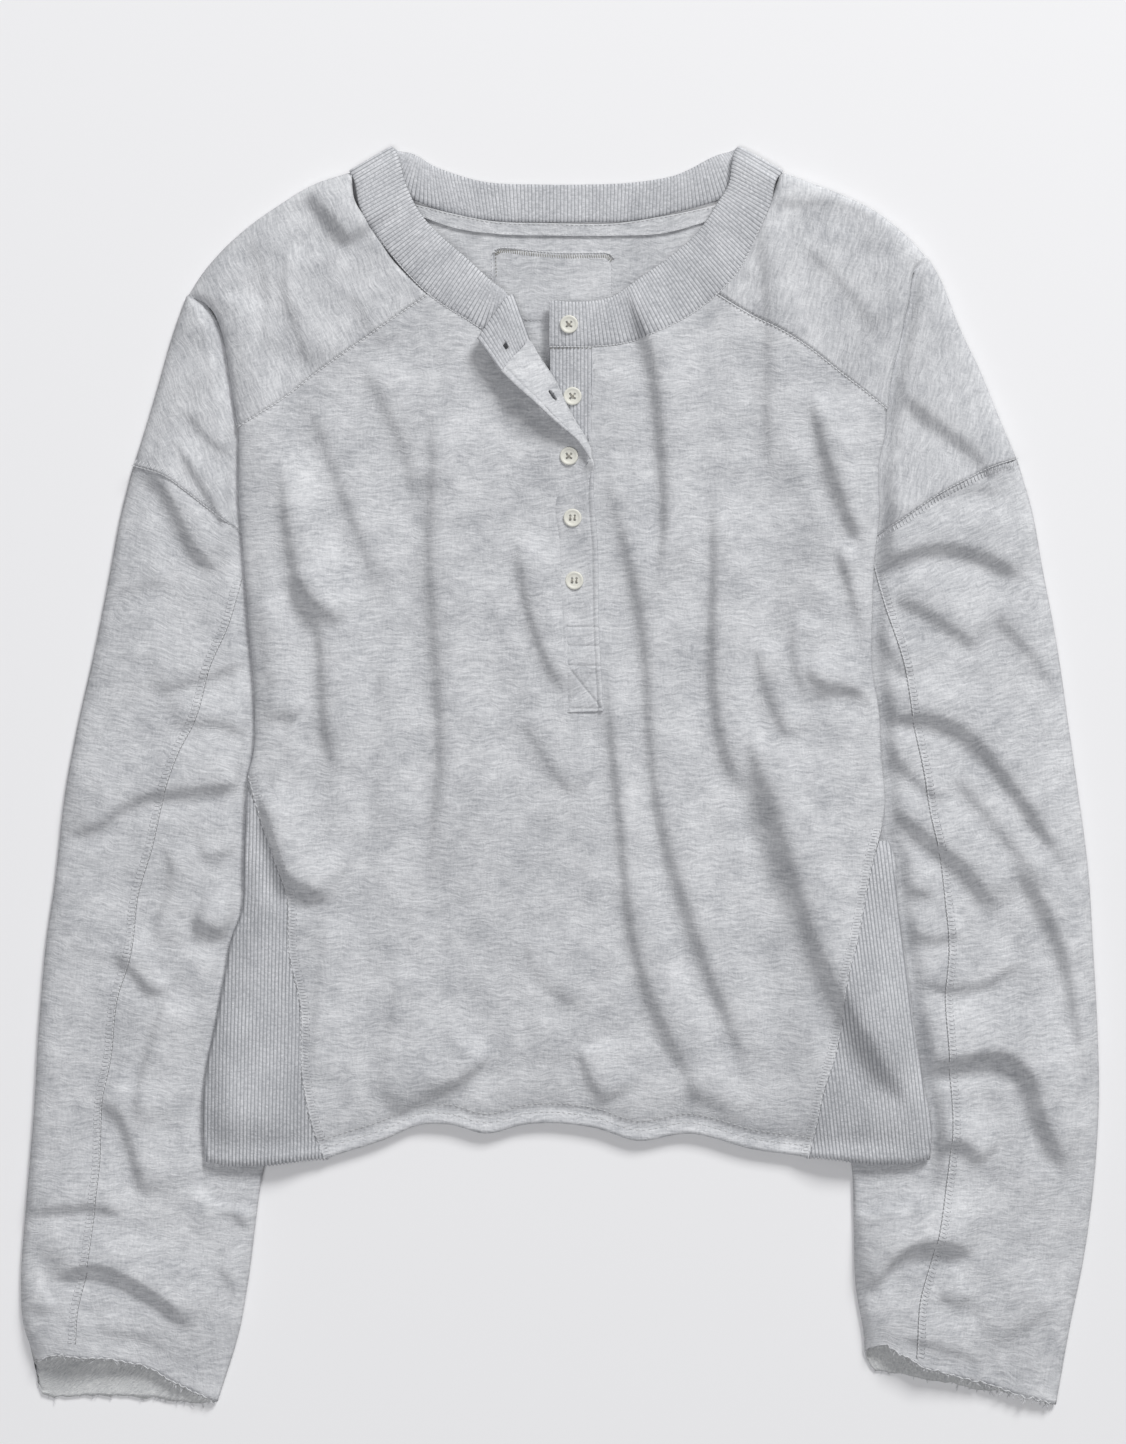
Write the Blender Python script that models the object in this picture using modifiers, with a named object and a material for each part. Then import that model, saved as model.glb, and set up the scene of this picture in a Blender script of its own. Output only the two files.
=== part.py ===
"""Henley shirt laid flat: jersey panels, rib neckband, rib side gussets, half placket, five buttons.

The tables are in millimetres and the meshes in metres. +X is the wearer's left, +Y runs from the
hem to the neck, +Z is up from the table, and the origin is the middle of the shirt's footprint.
Each sleeve lies on the table, and the body tube lies over the inner part of both sleeves.
"""

import math

import bmesh
import bpy
import numpy as np

MM = 0.001

# Wall thicknesses.
CLOTH = 1.2
RIB = 1.4
BAND = 2.0
PLACKET = 1.6
TAPE = 0.8
PATCH = 1.0

# Gaps, and the heights of each layer's middle surface above the table.
SEAM = 0.8
FLOOR = CLOTH / 2
TUCK_LEVEL = 3.0
BODY_LIFT = 4.5
BODY_GAP = 2.4
BODY_LOFT = 1.8
SLEEVE_LOFT = 3.2
CUFF_LOFT = 3.0
BAND_BACK_LEVEL = BAND / 2
BAND_FRONT_LEVEL = 4.9
FLAP_LEVEL = 7.8
LIFT_START = 9.0
LIFT_RUN = 26.0
LOFT_RUN = 28.0
TURN = 1.2
ON_TOP = 0.35

# Buttons: four-hole, 16 ligne.
BUTTON_RADIUS = 5.1
BUTTON_THICKNESS = 2.4
BUTTON_HOLE_RADIUS = 0.55
BUTTON_HOLE_PITCH = 1.15
BUTTON_SIDES = 16
BUTTON_REST = 0.45

# How finely each panel is divided.
FRONT_COLUMNS = {"yoke": 5, "neck": 3, "flap": 3, "slit": 2, "neck_left": 4, "yoke_left": 5}
FRONT_ROWS = 20
BACK_COLUMNS = {"yoke": 6, "neck": 6}
BACK_ROWS = 12
SLEEVE_STATIONS = 18
SLEEVE_ACROSS = 9
UNDER_ACROSS = 4
YOKE_COLUMNS = 7
YOKE_ROWS = 6
GUSSET_ROWS = 12
GUSSET_COLUMNS = 4

# Each side's seams and folds, as (x, y) rows from the shoulder downwards.
SHOULDER = {
    "right": [(-117, 337), (-138, 330), (-158, 318), (-176, 305), (-189, 293), (-200, 280), (-207, 269)],
    "left": [(124, 337), (141, 331), (161, 323), (175, 316), (186, 308), (197, 298), (204, 290)],
}
SLEEVE_HEAD = {
    "right": [(-207, 269), (-215, 247), (-224, 217), (-233, 188), (-238, 173)],
    "left": [(204, 290), (211, 278), (222, 251), (235, 224), (245, 200), (255, 177)],
}
CREASE = {
    "right": [(-207, 269), (-198, 265), (-192, 258), (-188, 248), (-184, 227), (-181, 208), (-179, 195)],
    "left": [(204, 290), (198, 284), (194, 266), (189, 243), (184, 221), (182, 205)],
}
YOKE_SEAM = {
    "right": [(-73, 269), (-86, 260), (-112, 242), (-136, 225), (-158, 208), (-179, 195)],
    "left": [(87, 269), (105, 258), (119, 251), (136, 241), (158, 224), (182, 205)],
}
DROP_SEAM = {
    "right": [(-238, 173), (-220, 167), (-209, 159), (-196, 149), (-178, 136), (-151, 121)],
    "left": [(255, 177), (240, 172), (226, 165), (211, 157), (195, 146), (178, 135), (154, 121)],
}
TUCKED_SIDE = {
    "right": [(-178, 193), (-173, 172), (-163, 145), (-151, 121)],
    "left": [(181, 203), (173, 179), (164, 148), (154, 121)],
}
YOKE_NECK = {
    "right": [(-117, 337), (-115, 321), (-106, 307), (-94, 288), (-74, 269)],
    "left": [(124, 337), (117, 318), (107, 297), (99, 283), (88, 270)],
}
YOKE_BACK_NECK = {
    "right": [(-117, 337), (-105, 328), (-88, 321)],
    "left": [(124, 337), (111, 328), (94, 320)],
}
BACK_YOKE_SEAM = {
    "right": [(-88, 321), (-112, 298), (-134, 269), (-150, 240), (-162, 214), (-178, 193)],
    "left": [(94, 320), (116, 298), (136, 272), (152, 246), (166, 224), (181, 203)],
}
SIDE_FOLD = {
    "right": [(-179, 193), (-179, 176), (-179, 155), (-178, 143), (-174, 89), (-170, 34), (-171, 12), (-174, -1)],
    "left": [(182, 203), (181, 190), (178, 176), (178, 146), (175, 117), (174, 87), (174, 60), (178, 34),
             (179, 12), (181, -18), (179, -31)],
}
GUSSET_SEAM = {
    "right": [(-174, -1), (-168, -22), (-160, -45), (-153, -65), (-151, -100), (-145, -127), (-144, -166),
              (-138, -197), (-132, -214)],
    "left": [(179, -31), (174, -49), (170, -69), (166, -90), (160, -112), (157, -140), (153, -158),
             (147, -176), (144, -191), (139, -213)],
}
GUSSET_FOLD = {
    "right": [(-174, -1), (-176, -42), (-178, -78), (-183, -91), (-186, -107), (-192, -140), (-197, -164),
              (-199, -186), (-198, -214)],
    "left": [(179, -31), (185, -41), (188, -71), (192, -98), (198, -144), (203, -174), (207, -196),
             (206, -215)],
}

# Sleeve sections: the outer and the inner edge of the flattened tube.
#                       outer x, outer y, inner x, inner y
SLEEVE = {
    "right": [(-238, 173, -151, 121), (-244, 150, -143, 104), (-252, 109, -136, 76), (-260, 69, -132, 42),
              (-269, 29, -133, 3), (-276, -8, -137, -36), (-282, -59, -142, -81), (-287, -94, -147, -117),
              (-291, -140, -153, -157), (-294, -190, -161, -201), (-297, -226, -168, -229),
              (-299, -250, -171, -252), (-301, -282, -175, -283), (-300, -305, -180, -311),
              (-293, -326, -192, -350)],
    "left": [(255, 177, 154, 121), (263, 150, 147, 104), (269, 118, 141, 76), (277, 76, 138, 42),
             (284, 28, 138, 0), (290, -14, 140, -39), (295, -53, 143, -78), (298, -101, 148, -117),
             (300, -137, 153, -154), (301, -181, 159, -190), (299, -218, 164, -221), (296, -246, 165, -249),
             (291, -278, 166, -285), (285, -307, 170, -309), (277, -352, 171, -322)],
}
# How far the middle of each cuff edge lies off the straight line between its corners, down the sleeve.
CUFF_BOW = {"right": {"top": -9.0, "under": 8.0}, "left": {"top": -2.0, "under": 4.0}}

# The hem and the necklines, wearer's right to left.
HEM = [(-132, -214), (-100, -204), (-77, -195), (-62, -195), (-41, -200), (-20, -195), (20, -197),
       (43, -204), (71, -200), (109, -209), (139, -213)]
NECKLINE_RIGHT = [(-73, 269), (-58, 259), (-41, 247), (-19, 241)]
FLAP_FOLD = [(-18, 241), (-10, 229), (-4, 219), (4, 203), (15, 183)]
SLIT_LEFT = [(17, 183), (18, 239)]
NECKLINE_LEFT = [(18, 239), (35, 241), (58, 249), (80, 262), (87, 268)]
BACK_NECK = [(-88, 321), (-62, 315), (-36, 311), (-3, 310), (31, 310), (64, 315), (94, 320)]

# The neckband, a folded rib strip: its free edge, its seam edge, and the height of its middle.
#        free x, free y, seam x, seam y, z
NECKBAND = [
    (-6, 265, -6, 240, BAND_FRONT_LEVEL),
    (11, 264, 12, 240, BAND_FRONT_LEVEL),
    (29, 267, 35, 242, BAND_FRONT_LEVEL),
    (44, 277, 58, 250, BAND_FRONT_LEVEL),
    (61, 289, 80, 263, BAND_FRONT_LEVEL),
    (78, 304, 99, 282, BAND_FRONT_LEVEL),
    (88, 319, 109, 301, 4.7),
    (95, 331, 117, 319, 4.4),
    (98, 348, 121, 334, 4.0),
    (100, 351.3, 124, 338, 2.5),
    (98, 349.8, 119, 333.5, BAND_BACK_LEVEL),
    (87, 346, 96, 325, BAND_BACK_LEVEL),
    (64, 335, 64, 316, BAND_BACK_LEVEL),
    (39, 331, 38, 311, BAND_BACK_LEVEL),
    (14, 330, 14, 310.5, BAND_BACK_LEVEL),
    (-11, 330, -11, 310.5, BAND_BACK_LEVEL),
    (-45, 332, -42, 312, BAND_BACK_LEVEL),
    (-70, 340, -66, 317, BAND_BACK_LEVEL),
    (-82, 347, -90, 326, BAND_BACK_LEVEL),
    (-92, 349.8, -113, 333.5, BAND_BACK_LEVEL),
    (-94, 351.3, -117, 338, 2.5),
    (-92, 348, -115, 334, 4.0),
    (-87, 331, -111, 317, 4.4),
    (-80, 316, -102, 302, 4.7),
    (-67, 301, -86, 282, BAND_FRONT_LEVEL),
    (-53, 289, -69, 266, BAND_FRONT_LEVEL),
    (-40, 277, -53, 256, BAND_FRONT_LEVEL),
    (-32, 271, -34, 245, BAND_FRONT_LEVEL),
    (-27.9, 267.7, -18.6, 241.7, BAND_FRONT_LEVEL),
    (-26.6, 268.2, -17.2, 242.2, 6.4),
    (-27.9, 267.7, -18.6, 241.7, FLAP_LEVEL),
    (-37, 256, -27, 234, 8.6),
    (-46, 244, -35, 227, 9.4),
]
NECKBAND_ACROSS = 3

# The buttonhole placket: face down in the turned-back flap, twisting over at its foot, then lying
# closed on the front with its free edge on the wearer's left.
#         inner x, inner y, inner z, free x, free y, free z; a z of None follows the front panel
PLACKET_ROWS = [
    (-19.5, 238.5, 7.6, -35, 225.5, 9.6),
    (-12, 229, 7.6, -23, 215, 9.6),
    (-6, 219, 7.6, -11, 205, 9.4),
    (0, 207, 7.6, 0, 196, 9.0),
    (7, 197, 7.8, 8, 189, 8.6),
    (13, 186, 7.8, 14.5, 182.5, 8.6),
    (14.5, 176, 7.4, 17.5, 175, 7.8),
    (9, 168, None, 18, 168, None),
    (-2, 158, None, 19, 158, None),
    (-2, 130, None, 21, 130, None),
    (0, 80, None, 22, 80, None),
    (3, 35, None, 24, 36, None),
]
PLACKET_ACROSS = 3
PLACKET_STATIONS = 22

# The button placket: a rib strip, whose lower part hides between the front and the back.
#          y, z at its free edge, z at its seam
STAND_ROWS = [(239, 4.9, 4.9), (226, 3.2, 4.7), (205, 2.6, 3.9), (190, 2.4, 2.9), (178, 2.5, 2.5), (36, 2.5, 2.5)]
STAND_EDGES = (-5.5, 16.2)
STAND_LEVEL_AT_BUTTON = 3.9

TAPE_LOW = [(-80, 313.5), (-58, 306), (-36, 303), (-3, 302), (31, 302), (56, 303), (86, 311)]
TAPE_HIGH = [(-82, 320), (-60, 314.5), (-36, 310), (-3, 309), (31, 309), (58, 313), (88, 319)]
PATCH_CORNERS = (-38, 254, 29, 293.5)

BUTTONS = [(5, 252), (7, 212), (5, 178.5), (7, 144), (8, 109)]

# The front panel's largest folds, as soft ridges.
#          x0,  y0,  x1,   y1, half width, height
FRONT_FOLDS = [
    (-73, 187, -70, 20, 15, 2.2),
    (-152, 160, -131, 20, 14, 2.0),
    (-20, 130, -3, 50, 12, 1.8),
    (24, 160, 50, 15, 13, 2.6),
    (50, 15, 100, -180, 13, 2.8),
    (32, 25, 42, -120, 11, 1.8),
    (84, 165, 88, -20, 14, 2.2),
    (106, 20, 142, -110, 13, 3.0),
    (146, 190, 168, 85, 13, 1.6),
    (-66, -176, -36, -150, 10, 1.8),
]
# The sleeves' largest folds.
SLEEVE_FOLDS = [
    (-218, 125, -195, 90, 12, 2.2),
    (-228, -28, -176, -18, 9, 2.0),
    (-214, -55, -186, -38, 9, 1.8),
    (-214, -95, -226, -160, 10, 2.2),
    (-264, -278, -212, -310, 11, 3.0),
    (-206, -226, -174, -262, 10, 2.0),
    (184, 118, 258, 108, 12, 2.4),
    (216, 34, 254, -28, 11, 2.4),
    (206, -30, 236, -70, 10, 2.2),
    (208, -154, 262, -170, 10, 2.6),
    (262, -170, 278, -215, 10, 2.0),
    (178, -284, 208, -262, 10, 2.4),
]


def smooth(t):
    """0 to 1 with flat ends."""
    t = np.clip(t, 0.0, 1.0)
    return t * t * (3.0 - 2.0 * t)


def curve(rows, count):
    """count points, evenly spaced along a smooth curve through the rows."""
    points = np.array(rows, float)
    steps = np.linalg.norm(np.diff(points, axis=0), axis=1)
    along = np.concatenate([[0.0], np.cumsum(steps)])
    if len(points) == 2:
        slopes = np.repeat((points[1:] - points[:1]) / steps[0], 2, axis=0)
    else:
        slopes = np.gradient(points, along, axis=0)
    at = np.linspace(0.0, along[-1], count)
    i = np.clip(np.searchsorted(along, at, side="right") - 1, 0, len(points) - 2)
    t = ((at - along[i]) / steps[i])[:, None]
    span = steps[i][:, None]
    return (
        points[i] * (2 * t**3 - 3 * t**2 + 1)
        + points[i + 1] * (3 * t**2 - 2 * t**3)
        + slopes[i] * span * (t**3 - 2 * t**2 + t)
        + slopes[i + 1] * span * (t**3 - t**2)
    )


def joined(parts):
    """Curves end to end, without repeating the points where they meet."""
    return np.concatenate([parts[0]] + [part[1:] for part in parts[1:]])


def patch(start, end, first, last):
    """A grid between four edges: rows run from start to end, columns from first to last."""
    v = np.linspace(0.0, 1.0, len(first))[:, None, None]
    u = np.linspace(0.0, 1.0, len(start))[None, :, None]
    rows = (1 - v) * start[None] + v * end[None]
    columns = (1 - u) * first[:, None] + u * last[:, None]
    corners = (
        (1 - u) * (1 - v) * start[0]
        + u * (1 - v) * start[-1]
        + (1 - u) * v * end[0]
        + u * v * end[-1]
    )
    return rows + columns - corners


def x_at(rows, y):
    """The x of a mostly vertical edge at height y."""
    points = np.array(sorted(rows, key=lambda row: row[1]), float)
    return np.interp(y, points[:, 1], points[:, 0])


def ridges(x, y, folds):
    """The height of all the folds at (x, y)."""
    total = np.zeros_like(x)
    for x0, y0, x1, y1, half_width, height in folds:
        length = math.hypot(x1 - x0, y1 - y0)
        along = ((x - x0) * (x1 - x0) + (y - y0) * (y1 - y0)) / length**2
        nearest = np.clip(along, 0.0, 1.0)
        off = np.hypot(x - x0 - nearest * (x1 - x0), y - y0 - nearest * (y1 - y0))
        total = total + height * np.exp(-((off / half_width) ** 2) * 2.0)
    return total


def tucked_edge(y, side):
    """The hidden inner edge of the sleeve and of the yoke's outer part."""
    inner = [(row[2], row[3]) for row in SLEEVE[side]]
    return x_at(CREASE[side] + TUCKED_SIDE[side][1:-1] + inner, y)


def body_edge(y, side):
    """The outer edge of the body tube; below the hem it runs off towards the middle."""
    away = -1.0 if side == "right" else 1.0
    x, hem = GUSSET_FOLD[side][-1]
    below = [(x, hem - 14.0), (x - away * 60.0, hem - 34.0)]
    return x_at(CREASE[side][:-1] + SIDE_FOLD[side][:-1] + GUSSET_FOLD[side] + below, y)


def inside(x, y, edge):
    """Distance from either side's edge towards the middle of the shirt."""
    return np.where(x < 0, x - edge(y, "right"), edge(y, "left") - x)


def under_level(x, y):
    """The body's back: flat on the table, rising to pass over the sleeves."""
    return FLOOR + BODY_LIFT * (1.0 - smooth((inside(x, y, tucked_edge) - LIFT_START) / LIFT_RUN))


def front_level(x, y):
    """The body's front, over its back."""
    away = smooth(inside(x, y, body_edge) / LOFT_RUN)
    return under_level(x, y) + BODY_GAP + away * (BODY_LOFT + ridges(x, y, FRONT_FOLDS))


def sleeve_level(x, y, from_edge):
    """The top layer of a sleeve, kept low at its edges and where the body covers it."""
    clear = smooth((-inside(x, y, body_edge) - 4.0) / LOFT_RUN) * smooth(from_edge / LOFT_RUN)
    cuff = CUFF_LOFT * smooth((-250.0 - y) / 60.0)
    return TUCK_LEVEL + clear * (SLEEVE_LOFT + cuff + ridges(x, y, SLEEVE_FOLDS))


def on_level(points, level):
    """A grid of (x, y) given heights by a level function."""
    z = level(points[..., 0], points[..., 1])
    return np.concatenate([points, z[..., None]], axis=-1)


def material(name, colour, roughness):
    made = bpy.data.materials.new(name)
    made.use_nodes = True
    shader = made.node_tree.nodes["Principled BSDF"]
    shader.inputs["Base Color"].default_value = (*colour, 1.0)
    shader.inputs["Roughness"].default_value = roughness
    shader.inputs["Metallic"].default_value = 0.0
    return made


def add_object(name, mesh, surface):
    made = bpy.data.objects.new(name, mesh)
    shirt.objects.link(made)
    mesh.materials.append(surface)
    return made


def sheet(name, grid, thickness, surface, closed=False):
    """A cloth wall: an open grid of millimetre points, given its thickness by Solidify."""
    rows, columns = grid.shape[:2]
    mesh = bpy.data.meshes.new(name)
    build = bmesh.new()
    points = [[build.verts.new(point * MM) for point in row] for row in grid]
    for r in range(rows - 1):
        for c in range(columns if closed else columns - 1):
            d = (c + 1) % columns
            build.faces.new((points[r][c], points[r][d], points[r + 1][d], points[r + 1][c]))
    build.to_mesh(mesh)
    build.free()
    mesh.shade_smooth()
    made = add_object(name, mesh, surface)
    wall = made.modifiers.new("wall", "SOLIDIFY")
    wall.thickness = thickness * MM
    wall.offset = 0.0
    return made


def front_body():
    """One panel, notched at the neck where the placket's flap turns back."""
    n = FRONT_COLUMNS
    top = joined([
        curve(YOKE_SEAM["right"][::-1], n["yoke"] + 1),
        curve(NECKLINE_RIGHT, n["neck"] + 1),
        curve(FLAP_FOLD, n["flap"] + 1),
        curve(SLIT_LEFT, n["slit"] + 1),
        curve(NECKLINE_LEFT, n["neck_left"] + 1),
        curve(YOKE_SEAM["left"], n["yoke_left"] + 1),
    ])
    top[:, 1] -= 1.3 * SEAM
    hem = curve(HEM, len(top))
    sides = {s: curve((SIDE_FOLD[s][:-1] + GUSSET_SEAM[s])[::-1], FRONT_ROWS) for s in SIDE_FOLD}
    for s, side in sides.items():
        side[-1] = top[0] if s == "right" else top[-1]
    grid = on_level(patch(hem, top, sides["right"], sides["left"]), front_level)
    grid = rolled_sides(grid)
    sheet("front_body", grid, CLOTH, jersey)


def rolled_sides(grid):
    """Adds a column down each side, turned towards the back above the gussets."""
    turned = smooth((grid[:, 0, 1] + 25.0) / 25.0)[:, None], smooth((grid[:, -1, 1] + 50.0) / 25.0)[:, None]
    right, left = grid[:, 0].copy(), grid[:, -1].copy()
    grid[:, 0, 0] += TURN
    grid[:, -1, 0] -= TURN
    right[:, 2:] -= 0.8 * turned[0]
    left[:, 2:] -= 0.8 * turned[1]
    return np.concatenate([right[:, None], grid, left[:, None]], axis=1)


def back_body():
    """The back panel, whose hem and seams follow the front's."""
    n = BACK_COLUMNS
    top = joined([
        curve(BACK_YOKE_SEAM["right"][::-1], n["yoke"] + 1),
        curve(BACK_NECK, n["neck"] + 1),
        curve(BACK_YOKE_SEAM["left"], n["yoke"] + 1),
    ])
    top[:, 1] -= SEAM
    hem = curve(HEM, len(top))
    hem[:, 1] += 2.0
    sides = {s: curve((SIDE_FOLD[s][:-1] + GUSSET_SEAM[s])[::-1], BACK_ROWS) for s in SIDE_FOLD}
    for s, side in sides.items():
        side[-1] = top[0] if s == "right" else top[-1]
        side[:, 0] += 0.8 if s == "right" else -0.8
        side[0] = hem[0] if s == "right" else hem[-1]
    sheet("back_body", on_level(patch(hem, top, sides["right"], sides["left"]), under_level), CLOTH, jersey)


def shoulder_columns(side):
    """The shoulder line's points, neck to drop seam, with the crease's two columns side by side."""
    upper = curve(SHOULDER[side], YOKE_COLUMNS)
    lower = curve(SLEEVE_HEAD[side], YOKE_COLUMNS)
    lower[0] += (lower[1] - lower[0]) * 0.12
    return upper, lower


def yoke(side):
    """Front and back of one shoulder in one piece, folded along the shoulder line.

    Its body part ends at the yoke seam. Its outer part lies one step lower, as the crease falls
    away beside the body, and ends at the drop seam.
    """
    upper, lower = shoulder_columns(side)
    away = -1.0 if side == "right" else 1.0
    rows = YOKE_ROWS

    seam = curve(YOKE_SEAM[side], YOKE_COLUMNS)
    body = patch(upper, seam, curve(YOKE_NECK[side], rows), curve(CREASE[side], rows))
    hidden = curve(TUCKED_SIDE[side], YOKE_COLUMNS)
    foot = curve([tuple(lower[0])] + CREASE[side][1:], rows)
    foot[:, 0] += away * 1.2
    hidden[0] = foot[-1]
    outer = patch(lower, hidden, foot, curve(DROP_SEAM[side], rows))

    def height(points, target):
        off = np.linalg.norm(points - points[:1], axis=-1)
        start = FLOOR + 2 * TURN
        return start + (target - start) * smooth(off / LOFT_RUN)

    body_z = height(body, front_level(body[..., 0], body[..., 1]))
    outer_off = np.linalg.norm(outer - outer[:1], axis=-1)
    outer_z = sleeve_level(outer[..., 0], outer[..., 1], outer_off)
    top = np.concatenate([
        np.concatenate([body, body_z[..., None]], axis=-1),
        np.concatenate([outer, outer_z[..., None]], axis=-1),
    ], axis=1)

    line = np.concatenate([upper, lower])
    back_edge = np.concatenate([
        curve(BACK_YOKE_SEAM[side], YOKE_COLUMNS),
        curve(TUCKED_SIDE[side], YOKE_COLUMNS + 1)[1:],
    ])
    under = patch(line, back_edge, curve(YOKE_BACK_NECK[side], rows), curve(DROP_SEAM[side], rows))
    under = np.concatenate([under, np.full(under.shape[:2] + (1,), FLOOR)], axis=-1)

    inward = top[1, :, :2] - top[0, :, :2]
    inward /= np.linalg.norm(inward, axis=1)[:, None]
    middle = top[:1].copy()
    middle[0, :, 2] = FLOOR + TURN
    top[0, :, :2] += inward * TURN
    under[0, :, :2] += inward * TURN
    grid = np.concatenate([under[::-1], middle, top])
    grid[:, 0, 0] += SEAM * away
    sheet(f"yoke_{side}", grid, CLOTH, jersey)


def sleeve(side):
    """A flattened tube from the drop seam to the raw cuff, open at both ends."""
    sections = curve(SLEEVE[side], SLEEVE_STATIONS)
    rows = []
    for i, (outer_x, outer_y, inner_x, inner_y) in enumerate(sections):
        outer, inner = np.array([outer_x, outer_y]), np.array([inner_x, inner_y])
        across = inner - outer
        width = np.linalg.norm(across)
        across /= width
        down = np.array([across[1], -across[0]]) * (-1.0 if side == "left" else 1.0)
        head = 1.0 - smooth(i / 3.0)
        tail = smooth((i - SLEEVE_STATIONS + 5.0) / 4.0)
        ends = {"top": [], "under": []}
        for layer, count in (("top", SLEEVE_ACROSS), ("under", UNDER_ACROSS)):
            for s in np.linspace(0.0, 1.0, count + 1):
                at = outer + across * (TURN + s * (width - 2 * TURN))
                bow = head * (np.interp(s, *seam_line(side)) + SEAM)
                at = at + down * (bow + tail * CUFF_BOW[side][layer] * math.sin(math.pi * s))
                z = FLOOR
                if layer == "top":
                    z = sleeve_level(at[:1], at[1:], np.array([min(s, 1.0 - s) * width]))[0]
                ends[layer].append((*at, z))
        edge = [(*(outer + down * SEAM * head), FLOOR + TURN), (*(inner + down * SEAM * head), FLOOR + TURN)]
        rows.append([edge[0], *ends["top"], edge[1], *ends["under"][::-1]])
    grid = np.array(rows)
    if side == "right":
        grid = grid[:, ::-1]
    sheet(f"sleeve_{side}", grid, CLOTH, jersey, closed=True)


def seam_line(side):
    """Along the line between the drop seam's ends, from 0 to 1, and how far the seam lies below it."""
    rows = np.array(DROP_SEAM[side], float) - DROP_SEAM[side][0]
    chord = rows[-1]
    length = np.linalg.norm(chord)
    off = (rows[:, 0] * chord[1] - rows[:, 1] * chord[0]) / length
    return rows @ chord / length**2, off * (-1.0 if side == "left" else 1.0)


def gusset(side):
    """A rib wedge round the side, from the front's seam to the back's."""
    away = -1.0 if side == "right" else 1.0
    apex, hem = GUSSET_SEAM[side][0][1] - 8.0, GUSSET_SEAM[side][-1][1]
    rows = []
    for y in np.linspace(apex, hem, GUSSET_ROWS):
        seam, fold = x_at(GUSSET_SEAM[side], y) + away * 1.5 * SEAM, x_at(GUSSET_FOLD[side], y)
        across = np.linspace(seam, fold - away * TURN, GUSSET_COLUMNS)
        ys = np.full_like(across, y)
        front = np.stack([across, ys, front_level(across, ys)], axis=1)
        back = np.stack([across, ys, under_level(across, ys)], axis=1)
        turn = np.array([[fold, y, (front[-1, 2] + back[-1, 2]) / 2]])
        rows.append(np.concatenate([front, turn, back[::-1]]))
    grid = np.array(rows)
    sheet(f"gusset_{side}", grid, CLOTH, rib)


def strip(name, ends, across, thickness, surface):
    """A ribbon between two rows of end points, with straight sections."""
    t = np.linspace(0.0, 1.0, across + 1)[None, :, None]
    grid = ends[:, None, :3] * (1 - t) + ends[:, None, 3:] * t
    return sheet(name, grid, thickness, surface)


def neckband():
    rows = np.array(NECKBAND, float)
    ends = np.stack([rows[:, 0], rows[:, 1], rows[:, 4], rows[:, 2], rows[:, 3], rows[:, 4]], axis=1)
    strip("neckband", ends, NECKBAND_ACROSS, BAND, rib)


def neck_tape():
    low, high = curve(TAPE_LOW, 9), curve(TAPE_HIGH, 9)
    z = np.full((9, 1), CLOTH + ON_TOP + TAPE / 2)
    strip("neck_tape", np.concatenate([low, z, high, z], axis=1), 1, TAPE, jersey)


def neck_patch():
    x0, y0, x1, y1 = PATCH_CORNERS
    z = CLOTH + ON_TOP + PATCH / 2
    ends = np.array([(x0, y0, z, x0, y1, z), (x1, y0, z, x1, y1, z)])
    strip("neck_patch", ends, 1, PATCH, jersey)


def buttonhole_placket():
    rows = []
    for inner_x, inner_y, inner_z, free_x, free_y, free_z in PLACKET_ROWS:
        if inner_z is None:
            lift = (CLOTH + PLACKET) / 2 + 3 * ON_TOP
            inner_z = float(front_level(np.float64(inner_x), np.float64(inner_y))) + lift
            free_z = float(front_level(np.float64(free_x), np.float64(free_y))) + lift
        rows.append((inner_x, inner_y, inner_z, free_x, free_y, free_z))
    strip("buttonhole_placket", curve(rows, PLACKET_STATIONS), PLACKET_ACROSS, PLACKET, jersey)


def button_placket():
    inner, outer = STAND_EDGES
    ends = np.array([(inner, y, free_z, outer, y, seam_z) for y, free_z, seam_z in STAND_ROWS])
    strip("button_placket", ends, 2, RIB, rib)


def button(index, x, y, z):
    """A turned disc with a rim and a dished face, cut by four thread holes."""
    r, h = BUTTON_RADIUS, BUTTON_THICKNESS
    profile = [(0.0, h * 0.62), (r * 0.55, h * 0.62), (r * 0.72, h * 0.8), (r * 0.88, h), (r, h * 0.72),
               (r * 0.93, h * 0.25), (r * 0.6, 0.0), (0.0, 0.0)]
    mesh = bpy.data.meshes.new(f"button_{index}")
    build = bmesh.new()
    points = [build.verts.new((px * MM, 0.0, pz * MM)) for px, pz in profile]
    for a, b in zip(points, points[1:]):
        build.edges.new((a, b))
    build.to_mesh(mesh)
    build.free()
    made = add_object(f"button_{index}", mesh, corozo)
    made.location = (x * MM, y * MM, z * MM)
    turned = made.modifiers.new("turned", "SCREW")
    turned.steps = turned.render_steps = BUTTON_SIDES
    turned.use_merge_vertices = True
    turned.merge_threshold = 0.00001
    for k in range(4):
        angle = math.pi / 4 + k * math.pi / 2
        offset = BUTTON_HOLE_PITCH * MM
        bpy.ops.mesh.primitive_cylinder_add(
            vertices=6,
            radius=BUTTON_HOLE_RADIUS * MM,
            depth=4 * h * MM,
            location=(x * MM + offset * math.cos(angle), y * MM + offset * math.sin(angle), z * MM),
        )
        hole = bpy.context.object
        hole.name = f"cutter_{index}_{k}"
        hole.hide_render = True
        hole.display_type = "WIRE"
        for collection in list(hole.users_collection):
            collection.objects.unlink(hole)
        cutters.objects.link(hole)
        cut = made.modifiers.new(f"hole_{k}", "BOOLEAN")
        cut.operation = "DIFFERENCE"
        cut.object = hole


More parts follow.
